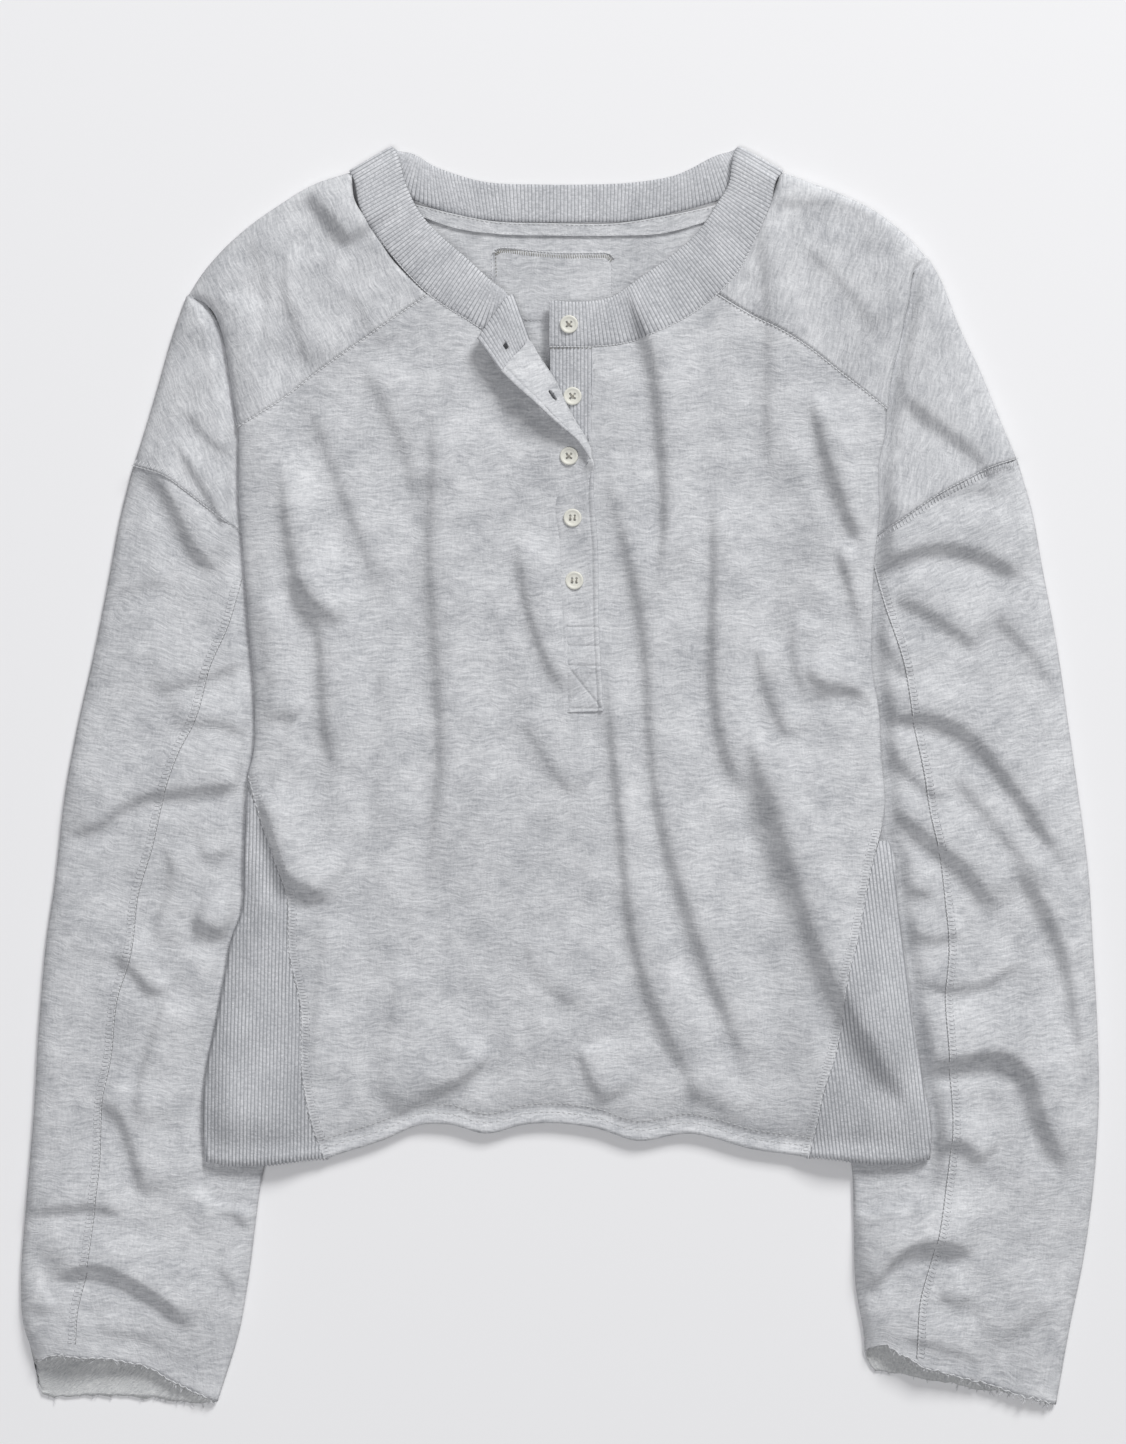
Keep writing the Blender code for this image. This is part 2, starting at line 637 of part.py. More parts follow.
def buttons():
    """One on the neckband's end, one on the rib placket, one on the front and two on the closed placket."""
    on_panel = [
        BAND_FRONT_LEVEL + BAND / 2,
        STAND_LEVEL_AT_BUTTON + RIB / 2,
        float(front_level(np.float64(BUTTONS[2][0]), np.float64(BUTTONS[2][1]))) + CLOTH / 2,
        front_top(3),
        front_top(4),
    ]
    for index, ((x, y), z) in enumerate(zip(BUTTONS, on_panel), start=1):
        button(index, x, y, z + BUTTON_REST)


def front_top(index):
    """The top of the closed placket under a button."""
    x, y = BUTTONS[index]
    return float(front_level(np.float64(x), np.float64(y))) + CLOTH / 2 + 5 * ON_TOP + PLACKET


for old in list(bpy.data.objects):
    bpy.data.objects.remove(old, do_unlink=True)

shirt = bpy.data.collections.new("henley_shirt")
cutters = bpy.data.collections.new("cutters")
bpy.context.scene.collection.children.link(shirt)
bpy.context.scene.collection.children.link(cutters)

jersey = material("grey_marl_slub_terry", (0.53, 0.54, 0.55), 0.95)
rib = material("grey_marl_rib", (0.49, 0.50, 0.51), 0.95)
corozo = material("cream_button", (0.62, 0.62, 0.52), 0.45)

front_body()
back_body()
for name in ("right", "left"):
    yoke(name)
    sleeve(name)
    gusset(name)
neckband()
neck_tape()
neck_patch()
buttonhole_placket()
button_placket()
buttons()
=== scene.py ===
"""Henley shirt laid flat on a table: marl jersey panels, rib neckband and side gussets, half placket
with its corner turned back, raw cuffs, five sewn buttons.

Tables are in millimetres and meshes in metres. +X is the wearer's left, +Y runs from the hem to the
neck, and +Z is up from the table.
"""

import math

import bmesh
import bpy
import numpy as np
from mathutils import Matrix


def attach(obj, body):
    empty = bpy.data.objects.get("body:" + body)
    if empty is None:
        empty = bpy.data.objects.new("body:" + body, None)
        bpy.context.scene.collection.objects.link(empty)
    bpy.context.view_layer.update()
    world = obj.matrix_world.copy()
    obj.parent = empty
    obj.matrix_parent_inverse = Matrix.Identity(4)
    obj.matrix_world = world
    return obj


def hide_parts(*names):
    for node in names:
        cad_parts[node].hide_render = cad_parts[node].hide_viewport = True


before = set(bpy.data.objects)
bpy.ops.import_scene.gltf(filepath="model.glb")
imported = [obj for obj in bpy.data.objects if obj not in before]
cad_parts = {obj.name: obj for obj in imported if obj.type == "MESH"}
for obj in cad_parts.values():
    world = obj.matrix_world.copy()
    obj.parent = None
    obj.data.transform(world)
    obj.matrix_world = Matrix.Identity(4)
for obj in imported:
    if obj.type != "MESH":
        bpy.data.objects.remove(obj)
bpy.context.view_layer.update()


# ---- Table, light and camera ----------------------------------------------------------------------
# A white painted board, lit through a large diffuser beyond the neck on the wearer's left, in a pale
# room. The camera hangs straight above on a long lens.
MM = 0.001
TABLE_REACH = 14.0
TABLE_DROP = 0.0002
ROOM_STRENGTH = 0.21
VIEW_CENTRE = (1.7, 30.0)
VIEW_HEIGHT = 808.6
LENS = 110.0
SENSOR = 36.0


def linear(hex_colour):
    """An sRGB hex colour as linear red, green, blue and full alpha."""
    parts = [int(hex_colour[i:i + 2], 16) / 255 for i in (1, 3, 5)]
    return (*(c / 12.92 if c <= 0.04045 else ((c + 0.055) / 1.055) ** 2.4 for c in parts), 1.0)


def add(tree, kind, inputs=None, **settings):
    """A node with its settings, and each input either set to a value or linked from a socket."""
    made = tree.nodes.new(kind)
    for name, value in settings.items():
        setattr(made, name, value)
    for name, value in (inputs or {}).items():
        if isinstance(value, bpy.types.NodeSocket):
            tree.links.new(value, made.inputs[name])
        else:
            made.inputs[name].default_value = value
    return made


def material(name, roughness, **shader_inputs):
    """A material whose shader has this roughness; returns it with its node tree and shader."""
    made = bpy.data.materials.new(name)
    made.use_nodes = True
    shader = made.node_tree.nodes["Principled BSDF"]
    shader.inputs["Roughness"].default_value = roughness
    for socket, value in shader_inputs.items():
        shader.inputs[socket.replace("_", " ")].default_value = value
    return made, made.node_tree, shader


def add_object(name, data):
    made = bpy.data.objects.new(name, data)
    bpy.context.scene.collection.objects.link(made)
    return made


# Emulsion paint: a matt white with a faint mottle that only shows in its bump.
board, tree, shader = material("white_emulsion_board_matt", 0.85)
shader.inputs["Base Color"].default_value = linear("#EDEDEE")
grain = add(tree, "ShaderNodeTexNoise", {"Scale": 900.0, "Detail": 2.0})
bump = add(tree, "ShaderNodeBump", {"Height": grain.outputs["Fac"], "Strength": 0.05,
                                    "Distance": 0.0001})
tree.links.new(bump.outputs["Normal"], shader.inputs["Normal"])
table = bpy.data.meshes.new("table")
corners = [(x * TABLE_REACH, y * TABLE_REACH, -TABLE_DROP) for x, y in ((-1, -1), (1, -1), (1, 1), (-1, 1))]
table.from_pydata(corners, [], [(0, 1, 2, 3)])
table.materials.append(board)
add_object("table", table)

for name, place, size, energy, colour in (
    ("diffuser", (2.1, 4.0, 2.8), 1.7, 258.0, "#FFFFFF"),
    ("ceiling", (-0.8, -1.0, 3.6), 3.0, 55.0, "#FCFCFF"),
):
    light = bpy.data.lights.new(name, "AREA")
    light.shape = "SQUARE"
    light.size = size
    light.energy = energy
    light.color = linear(colour)[:3]
    lamp = add_object(name, light)
    lamp.location = place
    aim = np.array([VIEW_CENTRE[0] * MM, VIEW_CENTRE[1] * MM, 0.0]) - place
    tilt, turn = math.acos(-aim[2] / np.linalg.norm(aim)), math.atan2(aim[0], -aim[1]) + math.pi
    lamp.rotation_euler = (tilt, 0.0, turn)

room = bpy.data.worlds.new("pale_room")
room.use_nodes = True
room.node_tree.nodes["Background"].inputs["Color"].default_value = linear("#FAFAFB")
room.node_tree.nodes["Background"].inputs["Strength"].default_value = ROOM_STRENGTH
bpy.context.scene.world = room
bpy.context.scene.view_settings.view_transform = "Standard"

camera = bpy.data.cameras.new("above")
camera.lens = LENS
camera.sensor_width = SENSOR
above = add_object("above", camera)
above.location = (VIEW_CENTRE[0] * MM, VIEW_CENTRE[1] * MM, VIEW_HEIGHT * MM * LENS / SENSOR)
bpy.context.scene.camera = above


# ---- Back panel -----------------------------------------------------------------------------------
# One panel of loopback marl jersey, laid first: flat on the table in the middle, and rising at both
# sides to lie over the inner part of the sleeves. Its inside shows through the neck.
CLOTH = 1.1
FLOOR = 0.6
BODY_LIFT = 4.0
LIFT_START = 9.0
LIFT_RUN = 26.0

# Each side's seams and folds, as (x, y) rows from the shoulder downwards.
CREASE = {
    "right": [(-207, 269), (-198, 265), (-192, 258), (-188, 248), (-184, 227), (-181, 208), (-179, 195)],
    "left": [(204, 290), (198, 284), (194, 266), (189, 243), (184, 221), (182, 205)],
}
TUCKED_SIDE = {
    "right": [(-178, 193), (-173, 172), (-163, 145), (-151, 121)],
    "left": [(181, 203), (173, 179), (164, 148), (154, 121)],
}
BACK_YOKE_SEAM = {
    "right": [(-88, 321), (-112, 298), (-134, 269), (-150, 240), (-162, 214), (-178, 193)],
    "left": [(94, 320), (116, 298), (136, 272), (152, 246), (166, 224), (181, 203)],
}
SIDE_FOLD = {
    "right": [(-179, 193), (-179, 176), (-179, 155), (-178, 143), (-174, 89), (-170, 34), (-171, 12),
              (-174, -1)],
    "left": [(182, 203), (181, 190), (178, 176), (178, 146), (175, 117), (174, 87), (174, 60), (178, 34),
             (179, 12), (181, -18), (179, -31)],
}
GUSSET_SEAM = {
    "right": [(-174, -1), (-168, -22), (-160, -45), (-153, -65), (-151, -100), (-145, -127), (-144, -166),
              (-138, -197), (-132, -214)],
    "left": [(179, -31), (174, -49), (170, -69), (166, -90), (160, -112), (157, -140), (153, -158),
             (147, -176), (144, -191), (139, -213)],
}
# The sleeves' sections: the outer and the inner edge of each flattened tube, shoulder to cuff.
#                       outer x, outer y, inner x, inner y
SLEEVE = {
    "right": [(-238, 173, -151, 121), (-244, 150, -143, 104), (-252, 109, -136, 76), (-260, 69, -132, 42),
              (-269, 29, -133, 3), (-276, -8, -137, -36), (-282, -59, -142, -81), (-287, -94, -147, -117),
              (-291, -140, -153, -157), (-294, -190, -161, -201), (-297, -226, -168, -229),
              (-299, -250, -171, -252), (-301, -282, -175, -283), (-300, -305, -180, -311),
              (-293, -326, -192, -350)],
    "left": [(255, 177, 154, 121), (263, 150, 147, 104), (269, 118, 141, 76), (277, 76, 138, 42),
             (284, 28, 138, 0), (290, -14, 140, -39), (295, -53, 143, -78), (298, -101, 148, -117),
             (300, -137, 153, -154), (301, -181, 159, -190), (299, -218, 164, -221), (296, -246, 165, -249),
             (291, -278, 166, -285), (285, -307, 170, -309), (277, -352, 171, -322)],
}
HEM = [(-132, -214), (-100, -204), (-77, -195), (-62, -195), (-41, -200), (-20, -195), (20, -197),
       (43, -204), (71, -200), (109, -209), (139, -213)]
BACK_NECK = [(-88, 321), (-62, 315), (-36, 311), (-3, 310), (31, 310), (64, 315), (94, 320)]


def smooth(t):
    """0 to 1 with flat ends."""
    t = np.clip(t, 0.0, 1.0)
    return t * t * (3.0 - 2.0 * t)


def curve(rows, count):
    """count points, evenly spaced along a smooth curve through the rows."""
    points = np.array(rows, float)
    steps = np.linalg.norm(np.diff(points, axis=0), axis=1)
    along = np.concatenate([[0.0], np.cumsum(steps)])
    if len(points) == 2:
        slopes = np.repeat((points[1:] - points[:1]) / steps[0], 2, axis=0)
    else:
        slopes = np.gradient(points, along, axis=0)
    at = np.linspace(0.0, along[-1], count)
    i = np.clip(np.searchsorted(along, at, side="right") - 1, 0, len(points) - 2)
    t = ((at - along[i]) / steps[i])[:, None]
    span = steps[i][:, None]
    return (
        points[i] * (2 * t**3 - 3 * t**2 + 1)
        + points[i + 1] * (3 * t**2 - 2 * t**3)
        + slopes[i] * span * (t**3 - 2 * t**2 + t)
        + slopes[i + 1] * span * (t**3 - t**2)
    )


def joined(parts):
    """Curves end to end, without repeating the points where they meet."""
    return np.concatenate([parts[0]] + [part[1:] for part in parts[1:]])


def patch(start, end, first, last):
    """A grid between four edges: rows run from start to end, columns from first to last."""
    v = np.linspace(0.0, 1.0, len(first))[:, None, None]
    u = np.linspace(0.0, 1.0, len(start))[None, :, None]
    rows = (1 - v) * start[None] + v * end[None]
    columns = (1 - u) * first[:, None] + u * last[:, None]
    corners = (
        (1 - u) * (1 - v) * start[0]
        + u * (1 - v) * start[-1]
        + (1 - u) * v * end[0]
        + u * v * end[-1]
    )
    return rows + columns - corners


def x_at(rows, y):
    """The x of a mostly vertical edge at height y."""
    points = curve(sorted(rows, key=lambda row: row[1]), 90)
    return np.interp(y, points[:, 1], points[:, 0])


def rumple(x, y, size, seed):
    """Soft unevenness between -1 and 1, in lumps size millimetres apart."""
    lattice = np.random.default_rng(seed).uniform(-1.0, 1.0, (64, 64))
    u, v = x / size + 31.4, y / size + 27.2
    i, j = np.floor(u).astype(int), np.floor(v).astype(int)
    s, t = smooth(u - i), smooth(v - j)
    low = lattice[i % 64, j % 64] * (1 - s) + lattice[(i + 1) % 64, j % 64] * s
    high = lattice[i % 64, (j + 1) % 64] * (1 - s) + lattice[(i + 1) % 64, (j + 1) % 64] * s
    return low * (1 - t) + high * t


def tucked_edge(y, side):
    """The hidden inner edge of the sleeve and of the yoke's outer part."""
    inner = [(row[2], row[3]) for row in SLEEVE[side]]
    return x_at(CREASE[side] + TUCKED_SIDE[side][1:-1] + inner, y)


def inside(x, y, edge):
    """Distance from either side's edge towards the middle of the shirt."""
    return np.where(x < 0, x - edge(y, "right"), edge(y, "left") - x)


def under_level(x, y):
    """The body's back: flat on the table, rising to pass over the sleeves."""
    return FLOOR + BODY_LIFT * (1.0 - smooth((inside(x, y, tucked_edge) - LIFT_START) / LIFT_RUN))


def on_level(points, level):
    """A grid of (x, y) given heights by a level function."""
    return np.concatenate([points, level(points[..., 0], points[..., 1])[..., None]], axis=-1)


def cloth(name, grid, cut, thickness, surfaces, nodes, closed=False):
    """A walled cloth piece: a grid of millimetre points, and the same grid on the flat cut in metres."""
    rows, columns = grid.shape[:2]
    r, c = np.meshgrid(np.arange(rows - 1), np.arange(columns if closed else columns - 1), indexing="ij")
    d = c + 1

    def corners(count):
        return np.stack([r * count + c % count, r * count + d % count, (r + 1) * count + d % count,
                         (r + 1) * count + c % count], axis=-1).reshape(-1, 4)

    mesh = bpy.data.meshes.new(name)
    mesh.from_pydata((grid.reshape(-1, 3) * MM).tolist(), [], corners(columns).tolist())
    flat = cut.reshape(-1, 2)[corners(cut.shape[1])].reshape(-1, 2)
    mesh.uv_layers.new(name="cut").data.foreach_set("uv", flat.astype(np.float32).ravel())
    mesh.shade_smooth()
    for surface in surfaces:
        mesh.materials.append(surface)
    made = add_object(name, mesh)
    wall = made.modifiers.new("wall", "SOLIDIFY")
    wall.thickness = thickness * MM
    wall.offset = 0.0
    wall.material_offset = len(surfaces) - 1
    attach(made, "root")
    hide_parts(*nodes)
    return made


# Slub jersey in a grey marl: pale cotton spun with a few dark fibres, so each course is drawn in
# broken, wandering streaks about 6 mm long, over the fine columns of its stitches. It is matt and
# slightly hairy.
def marl(name, light, dark, streak=(8.0, 1.4), column=(1.0, 6.0), relief=0.6, roughness=0.92):
    """The marl's colour and the fine relief of its knit, on the cut's own coordinates; sizes in mm."""
    made, tree, shader = material(name, roughness, Sheen_Weight=0.12, Sheen_Roughness=0.6)
    shader.inputs["Specular IOR Level"].default_value = 0.2
    cut = add(tree, "ShaderNodeUVMap", uv_map="cut")
    wander = add(tree, "ShaderNodeTexNoise", {"Vector": cut.outputs["UV"], "Scale": 75.0, "Detail": 2.0})
    swayed = add(tree, "ShaderNodeVectorMath",
                 {0: wander.outputs["Color"], 1: (0.006, 0.0065, 0.0), 2: cut.outputs["UV"]},
                 operation="MULTIPLY_ADD")

    def fibres(size, detail):
        """Noise whose lumps are this size along and across the courses."""
        scaled = add(tree, "ShaderNodeMapping", {"Vector": swayed.outputs["Vector"],
                                                 "Scale": (1000 / size[0], 1000 / size[1], 1.0)})
        lumps = add(tree, "ShaderNodeTexNoise", {"Vector": scaled.outputs["Vector"], "Scale": 1.0,
                                                 "Detail": detail, "Roughness": 0.6})
        return lumps.outputs["Fac"]

    def plus(layer, share, rest):
        """A share of one layer added to the rest."""
        total = add(tree, "ShaderNodeMath", {0: layer, 1: share, 2: rest}, operation="MULTIPLY_ADD")
        return total.outputs["Value"]

    slub, flecks = fibres(streak, 3.0), fibres((1.7, 0.8), 2.0)
    columns, cloud = fibres(column, 2.0), fibres((32, 20), 2.0)
    knit = plus(columns, 0.4, plus(flecks, 0.5, slub))
    share = add(tree, "ShaderNodeMapRange", {"Value": plus(cloud, 0.7, knit), "From Min": 0.98,
                                             "From Max": 1.6})
    colour = add(tree, "ShaderNodeMix",
                 {"Factor": share.outputs["Result"], 6: linear(dark), 7: linear(light)}, data_type="RGBA")
    tree.links.new(colour.outputs[2], shader.inputs["Base Color"])
    bump = add(tree, "ShaderNodeBump", {"Height": knit, "Strength": relief, "Distance": 0.0005})
    tree.links.new(bump.outputs["Normal"], shader.inputs["Normal"])
    return made


jersey = marl("grey_marl_slub_jersey_matt", "#DADBDD", "#A2A4A8")

top = joined([
    curve(BACK_YOKE_SEAM["right"][::-1], 31),
    curve(BACK_NECK, 41),
    curve(BACK_YOKE_SEAM["left"], 31),
])
top[:, 1] -= 0.8
hem = curve(HEM, len(top))
hem[:, 1] += 2.0
sides = {s: curve((SIDE_FOLD[s][:-1] + GUSSET_SEAM[s])[::-1], 110) for s in SIDE_FOLD}
for s, side in sides.items():
    side[-1] = top[0] if s == "right" else top[-1]
    side[:, 0] += 0.8 if s == "right" else -0.8
    side[0] = hem[0] if s == "right" else hem[-1]
back = patch(hem, top, sides["right"], sides["left"])
back_body = cloth("back_body_panel", on_level(back, under_level), back * MM, CLOTH, [jersey],
                  ["back_body"])


# ---- Sleeves --------------------------------------------------------------------------------------
# Each sleeve is a tube of the same jersey, lying flat with its one seam on top, its raw cuff open
# and a little flared. The body lies over its inner edge.
TUCK_LEVEL = 3.0
SLEEVE_LOFT = 4.4
CUFF_LOFT = 2.0
EDGE_RUN = 24.0
TURN = 1.2
SEAM_TUCK = 3.0
SEAM_DROP = 0.9
FLAT_BELOW_BODY = 0.6
SLEEVE_STATIONS = 240
SLEEVE_ACROSS = 70
UNDER_ACROSS = 30
GUSSET_FOLD = {
    "right": [(-174, -1), (-176, -42), (-178, -78), (-183, -91), (-186, -107), (-192, -140), (-197, -164),
              (-199, -186), (-198, -214)],
    "left": [(179, -31), (185, -41), (188, -71), (192, -98), (198, -144), (203, -174), (207, -196),
             (206, -215)],
}
DROP_SEAM = {
    "right": [(-238, 173), (-220, 167), (-209, 159), (-196, 149), (-178, 136), (-151, 121)],
    "left": [(255, 177), (240, 172), (226, 165), (211, 157), (195, 146), (178, 135), (154, 121)],
}
# How far each cuff edge lies down the sleeve from the line between its corners, from its outer fold to
# its inner one: the upper layer has drawn back and shows the inside of the lower one.
CUFF_EDGE = {
    "right": {
        "top": [(0, 0), (0.1, -5.6), (0.25, -7.3), (0.41, -10), (0.57, -10.6), (0.7, -7), (0.85, -2.8),
                (1, 0)],
        "under": [(0, 3), (0.02, 12), (0.06, 18.5), (0.15, 18.5), (0.35, 12.6), (0.65, 6.7), (0.92, 3.9),
                  (1, 1)],
    },
    "left": {
        "top": [(0, 0), (0.22, 0), (0.36, -1.4), (0.69, -0.4), (0.86, -5), (0.92, -7.5), (0.98, -4),
                (1, -2)],
        "under": [(0, 0), (0.2, 0.3), (0.4, 3.6), (0.56, 4.5), (0.75, 6.9), (0.94, 9), (0.99, 5), (1, 3)],
    },
}
RAW_EDGE = 0.45

# Folds are tables of (height, steep width, easy width, line): the line follows the foot of the steep
# side, and the ridge lies on the left as one goes along it.
SLEEVE_FOLDS = [
    (4.7, 4.5, 22, [(-238, 171), (-224, 163), (-214, 146), (-204, 126), (-189, 112)]),
    (2.8, 4, 18, [(-216, 188), (-199, 160), (-189, 143), (-180, 129)]),
    (2.2, 4.5, 18, [(-210, 205), (-193, 185), (-180, 177)]),
    (1.5, 5, 18, [(-260, 98), (-241, 104), (-216, 109)]),
    (2.6, 4.5, 16, [(-230, 47), (-207, 52), (-188, 58), (-167, 67)]),
    (2.4, 4.5, 14, [(-218, 27), (-199, 30), (-184, 27), (-167, 17)]),
    (4.3, 4.5, 22, [(-283, -35), (-258, -28), (-235, -13), (-207, -9), (-167, -4)]),
    (2.6, 4, 14, [(-220, -36), (-217, -59), (-224, -81), (-227, -95)]),
    (1.9, 4, 16, [(-202, -47), (-182, -42), (-171, -39)]),
    (5.6, 5, 18, [(-208, -80), (-193, -87), (-179, -92), (-167, -89)]),
    (3.1, 4, 16, [(-251, -98), (-238, -109), (-227, -120), (-216, -117)]),
    (3.1, 4, 14, [(-217, -117), (-228, -148), (-235, -176), (-236, -199)]),
    (3.3, 4, 14, [(-196, -117), (-198, -148), (-202, -176), (-199, -204)]),
    (4.0, 4.5, 16, [(-262, -181), (-248, -188), (-240, -207), (-231, -238)]),
    (3.6, 4.5, 18, [(-308, -246), (-288, -243), (-258, -241), (-241, -246)]),
    (6.4, 3, 20, [(-285, -284), (-270, -276), (-256, -275), (-243, -280), (-229, -288), (-218, -296),
                  (-205, -311)]),
    (1.9, 4, 12, [(-260, -311), (-235, -313), (-216, -323)]),
    (4.3, 4.5, 16, [(-207, -215), (-193, -229), (-179, -246), (-167, -260)]),
    (2.6, 4.5, 14, [(-193, -271), (-182, -288), (-188, -311)]),
    (2.2, 4.5, 14, [(-301, -294), (-288, -299), (-280, -294)]),
    (3.5, 4.5, 20, [(188, 215), (210, 196), (232, 179), (246, 160)]),
    (2.5, 4.5, 20, [(182, 137), (202, 151), (227, 160), (252, 157)]),
    (5.3, 5, 24, [(169, 108), (179, 117), (193, 123), (216, 127), (235, 123), (263, 107)]),
    (3.4, 4.5, 18, [(184, 98), (199, 94), (216, 84), (235, 70)]),
    (2.8, 5, 20, [(238, 95), (252, 79), (266, 64), (280, 42)]),
    (2.4, 4, 12, [(172, 81), (185, 67), (193, 53)]),
    (5.2, 4.5, 22, [(169, 30), (185, 32), (210, 31), (227, 23), (246, 2), (269, -31), (287, -59)]),
    (2.7, 4, 14, [(176, 19), (188, 8), (204, -8), (216, -17)]),
    (5.6, 4.5, 18, [(179, -14), (193, -25), (210, -39), (224, -50), (244, -78)]),
    (2.5, 4, 14, [(216, 3), (235, -19), (258, -47), (272, -64)]),
    (5.5, 5, 24, [(246, -42), (266, -67), (279, -95), (288, -137), (292, -171)]),
    (3.1, 4, 14, [(182, -54), (193, -63), (210, -67)]),
    (2.8, 5, 20, [(193, -87), (210, -92), (227, -87)]),
    (2.9, 4.5, 16, [(200, -115), (218, -119), (238, -116), (260, -101)]),
    (6.9, 4.5, 22, [(199, -173), (207, -164), (224, -159), (249, -158), (259, -165), (267, -187),
                    (283, -225)]),
    (4.8, 4.5, 12, [(199, -209), (210, -210), (221, -205), (238, -218)]),
    (3.6, 4.5, 14, [(172, -244), (188, -241), (204, -241)]),
    (6.9, 4.5, 20, [(175, -291), (185, -272), (199, -263), (216, -262), (232, -269)]),
    (2.4, 4.5, 14, [(210, -288), (224, -294), (232, -288)]),
    (2.8, 7, 24, [(238, -319), (258, -308), (280, -294)]),
    (2.2, 4.5, 16, [(190, -313), (213, -319), (238, -328)]),
]


def body_edge(y, side):
    """The outer edge of the body tube; below the hem it runs off towards the middle."""
    away = -1.0 if side == "right" else 1.0
    x, low = GUSSET_FOLD[side][-1]
    below = [(x, low - 14.0), (x - away * 60.0, low - 34.0)]
    return x_at(CREASE[side][:-1] + SIDE_FOLD[side][:-1] + GUSSET_FOLD[side] + below, y)


def folds(x, y, table):
    """The height of all the folds in a table at (x, y)."""
    total = np.zeros_like(x)
    for height, steep, easy, line in table:
        points = curve(line, 4 * len(line))
        reach = 2.5 * easy + steep
        low, high = points.min(axis=0) - reach, points.max(axis=0) + reach
        near = (x > low[0]) & (x < high[0]) & (y > low[1]) & (y < high[1])
        px, py = x[near], y[near]
        off, side, along = np.full_like(px, 1e9), np.ones_like(px), np.zeros_like(px)
        for k, (a, b) in enumerate(zip(points, points[1:])):
            step = b - a
            t = np.clip(((px - a[0]) * step[0] + (py - a[1]) * step[1]) / (step @ step), 0.0, 1.0)
            ex, ey = px - a[0] - t * step[0], py - a[1] - t * step[1]
            closer = np.hypot(ex, ey) < off
            off = np.where(closer, np.hypot(ex, ey), off)
            side = np.where(closer, np.sign(step[0] * ey - step[1] * ex), side)
            along = np.where(closer, (k + t) / (len(points) - 1), along)
        signed = off * side
        face = 0.62 * smooth(0.5 + signed / (2 * steep)) + 0.38 * smooth(0.5 + signed / (0.8 * steep))
        ridge = face * np.exp(-((np.maximum(signed - steep, 0.0) / easy) ** 2))
        dip = 0.22 * np.exp(-(((signed + 1.6 * steep) / (1.3 * steep)) ** 2))
        total[near] += height * (ridge - dip) * smooth(along / 0.2) * smooth((1.0 - along) / 0.2)
    return total


def rounded(t):
    """0 to 1 as a round edge rises: steep at first, then flat."""
    t = np.clip(t, 0.0, 1.0)
    return np.sqrt(1.0 - (1.0 - t) ** 2)


def sleeve_level(x, y, from_edge):
    """The top layer of a sleeve: rounded at its edges, flat where the body covers it."""
    clear = smooth((-inside(x, y, body_edge) - 1.0) / 10.0) * rounded(from_edge / EDGE_RUN)
    cuff = CUFF_LOFT * smooth((-270.0 - y) / 50.0)
    uneven = 1.1 * rumple(x, y, 38.0, 5) + 0.5 * rumple(x * 0.6, y, 15.0, 6) + 0.22 * rumple(x, y, 7.0, 7)
    loft = SLEEVE_LOFT + cuff + uneven + folds(x, y, SLEEVE_FOLDS)
    return TUCK_LEVEL + clear * np.maximum(loft, FLAT_BELOW_BODY)


def seam_line(side):
    """Along the line between the drop seam's ends, from 0 to 1, and how far the seam lies below it."""
    rows = curve(DROP_SEAM[side], 40) - DROP_SEAM[side][0]
    chord = rows[-1]
    length = np.linalg.norm(chord)
    off = (rows[:, 0] * chord[1] - rows[:, 1] * chord[0]) / length
    return rows @ chord / length**2, off * (-1.0 if side == "left" else 1.0)


def yarn(name, roughness, colour):
    """The material of a thread in one colour, whose stitches are too short to show more than one colour. Most
    colours are dyes; the darker grey threads also carry painted shade.
    """
    made, _, shader = material(name, roughness)
    shader.inputs["Base Color"].default_value = linear(colour)
    return made


# Seams are sewn in spun polyester, dyed to the cloth, and show as short satin stitches. Those that sink
# into the cloth are given a dark grey as painted shade of the groove they lie in, and a raw or rolled
# edge shows the cloth's own cotton yarn.
seam_thread = yarn("grey_polyester_thread_satin", 0.6, "#BFC0C0")
# Painted shade: this thread's dark grey stands for the shade in the groove that a sunk seam draws.
seam_groove_shade_thread = yarn("painted_groove_shade_thread_matt", 0.85, "#88898B")
# The overlock threads are real stitches, but their darker grey also paints in the shade between them.
overlock_thread_and_shade = yarn("grey_overlock_thread_painted_shade_matt", 0.8, "#A2A3A6")
edge_yarn = yarn("pale_cotton_edge_yarn_matt", 0.9, "#D0D1D3")


def along(rows, pitch):
    """Points every pitch millimetres along a curve, with the directions along it and to its left."""
    length = np.linalg.norm(np.diff(curve(rows, 60), axis=0), axis=1).sum()
    points = curve(rows, max(int(length / pitch), 2))
    line = np.gradient(points, axis=0)
    line /= np.linalg.norm(line, axis=1)[:, None]
    return points, line, np.column_stack([-line[:, 1], line[:, 0]])


def laid(runs, level, bow):
    """Runs of (x, y) points laid on a surface, sunk at their ends and bowed up in the middle."""
    z = level(runs[..., 0], runs[..., 1])
    arch = np.sin(np.pi * np.linspace(0.0, 1.0, runs.shape[1]))
    return np.dstack([runs, z - 0.12 + bow * arch])


def running(rows, level, pitch, stitch, offset=0.0, bow=0.3):
    """A row of straight stitches beside a curve."""
    points, line, left = along(rows, pitch)
    steps = np.linspace(-0.5, 0.5, 4)[None, :, None] * stitch
    return laid(points[:, None] + left[:, None] * offset + line[:, None] * steps, level, bow)


def crossing(rows, level, pitch, inner, outer, slant, bow=0.35):
    """A row of stitches across a curve, from one offset to the other, each leaning along it."""
    points, line, left = along(rows, pitch)
    t = np.linspace(0.0, 1.0, 5)[None, :, None]
    over = left[:, None] * (inner + t * (outer - inner))
    return laid(points[:, None] + over + line[:, None] * slant * t, level, bow)


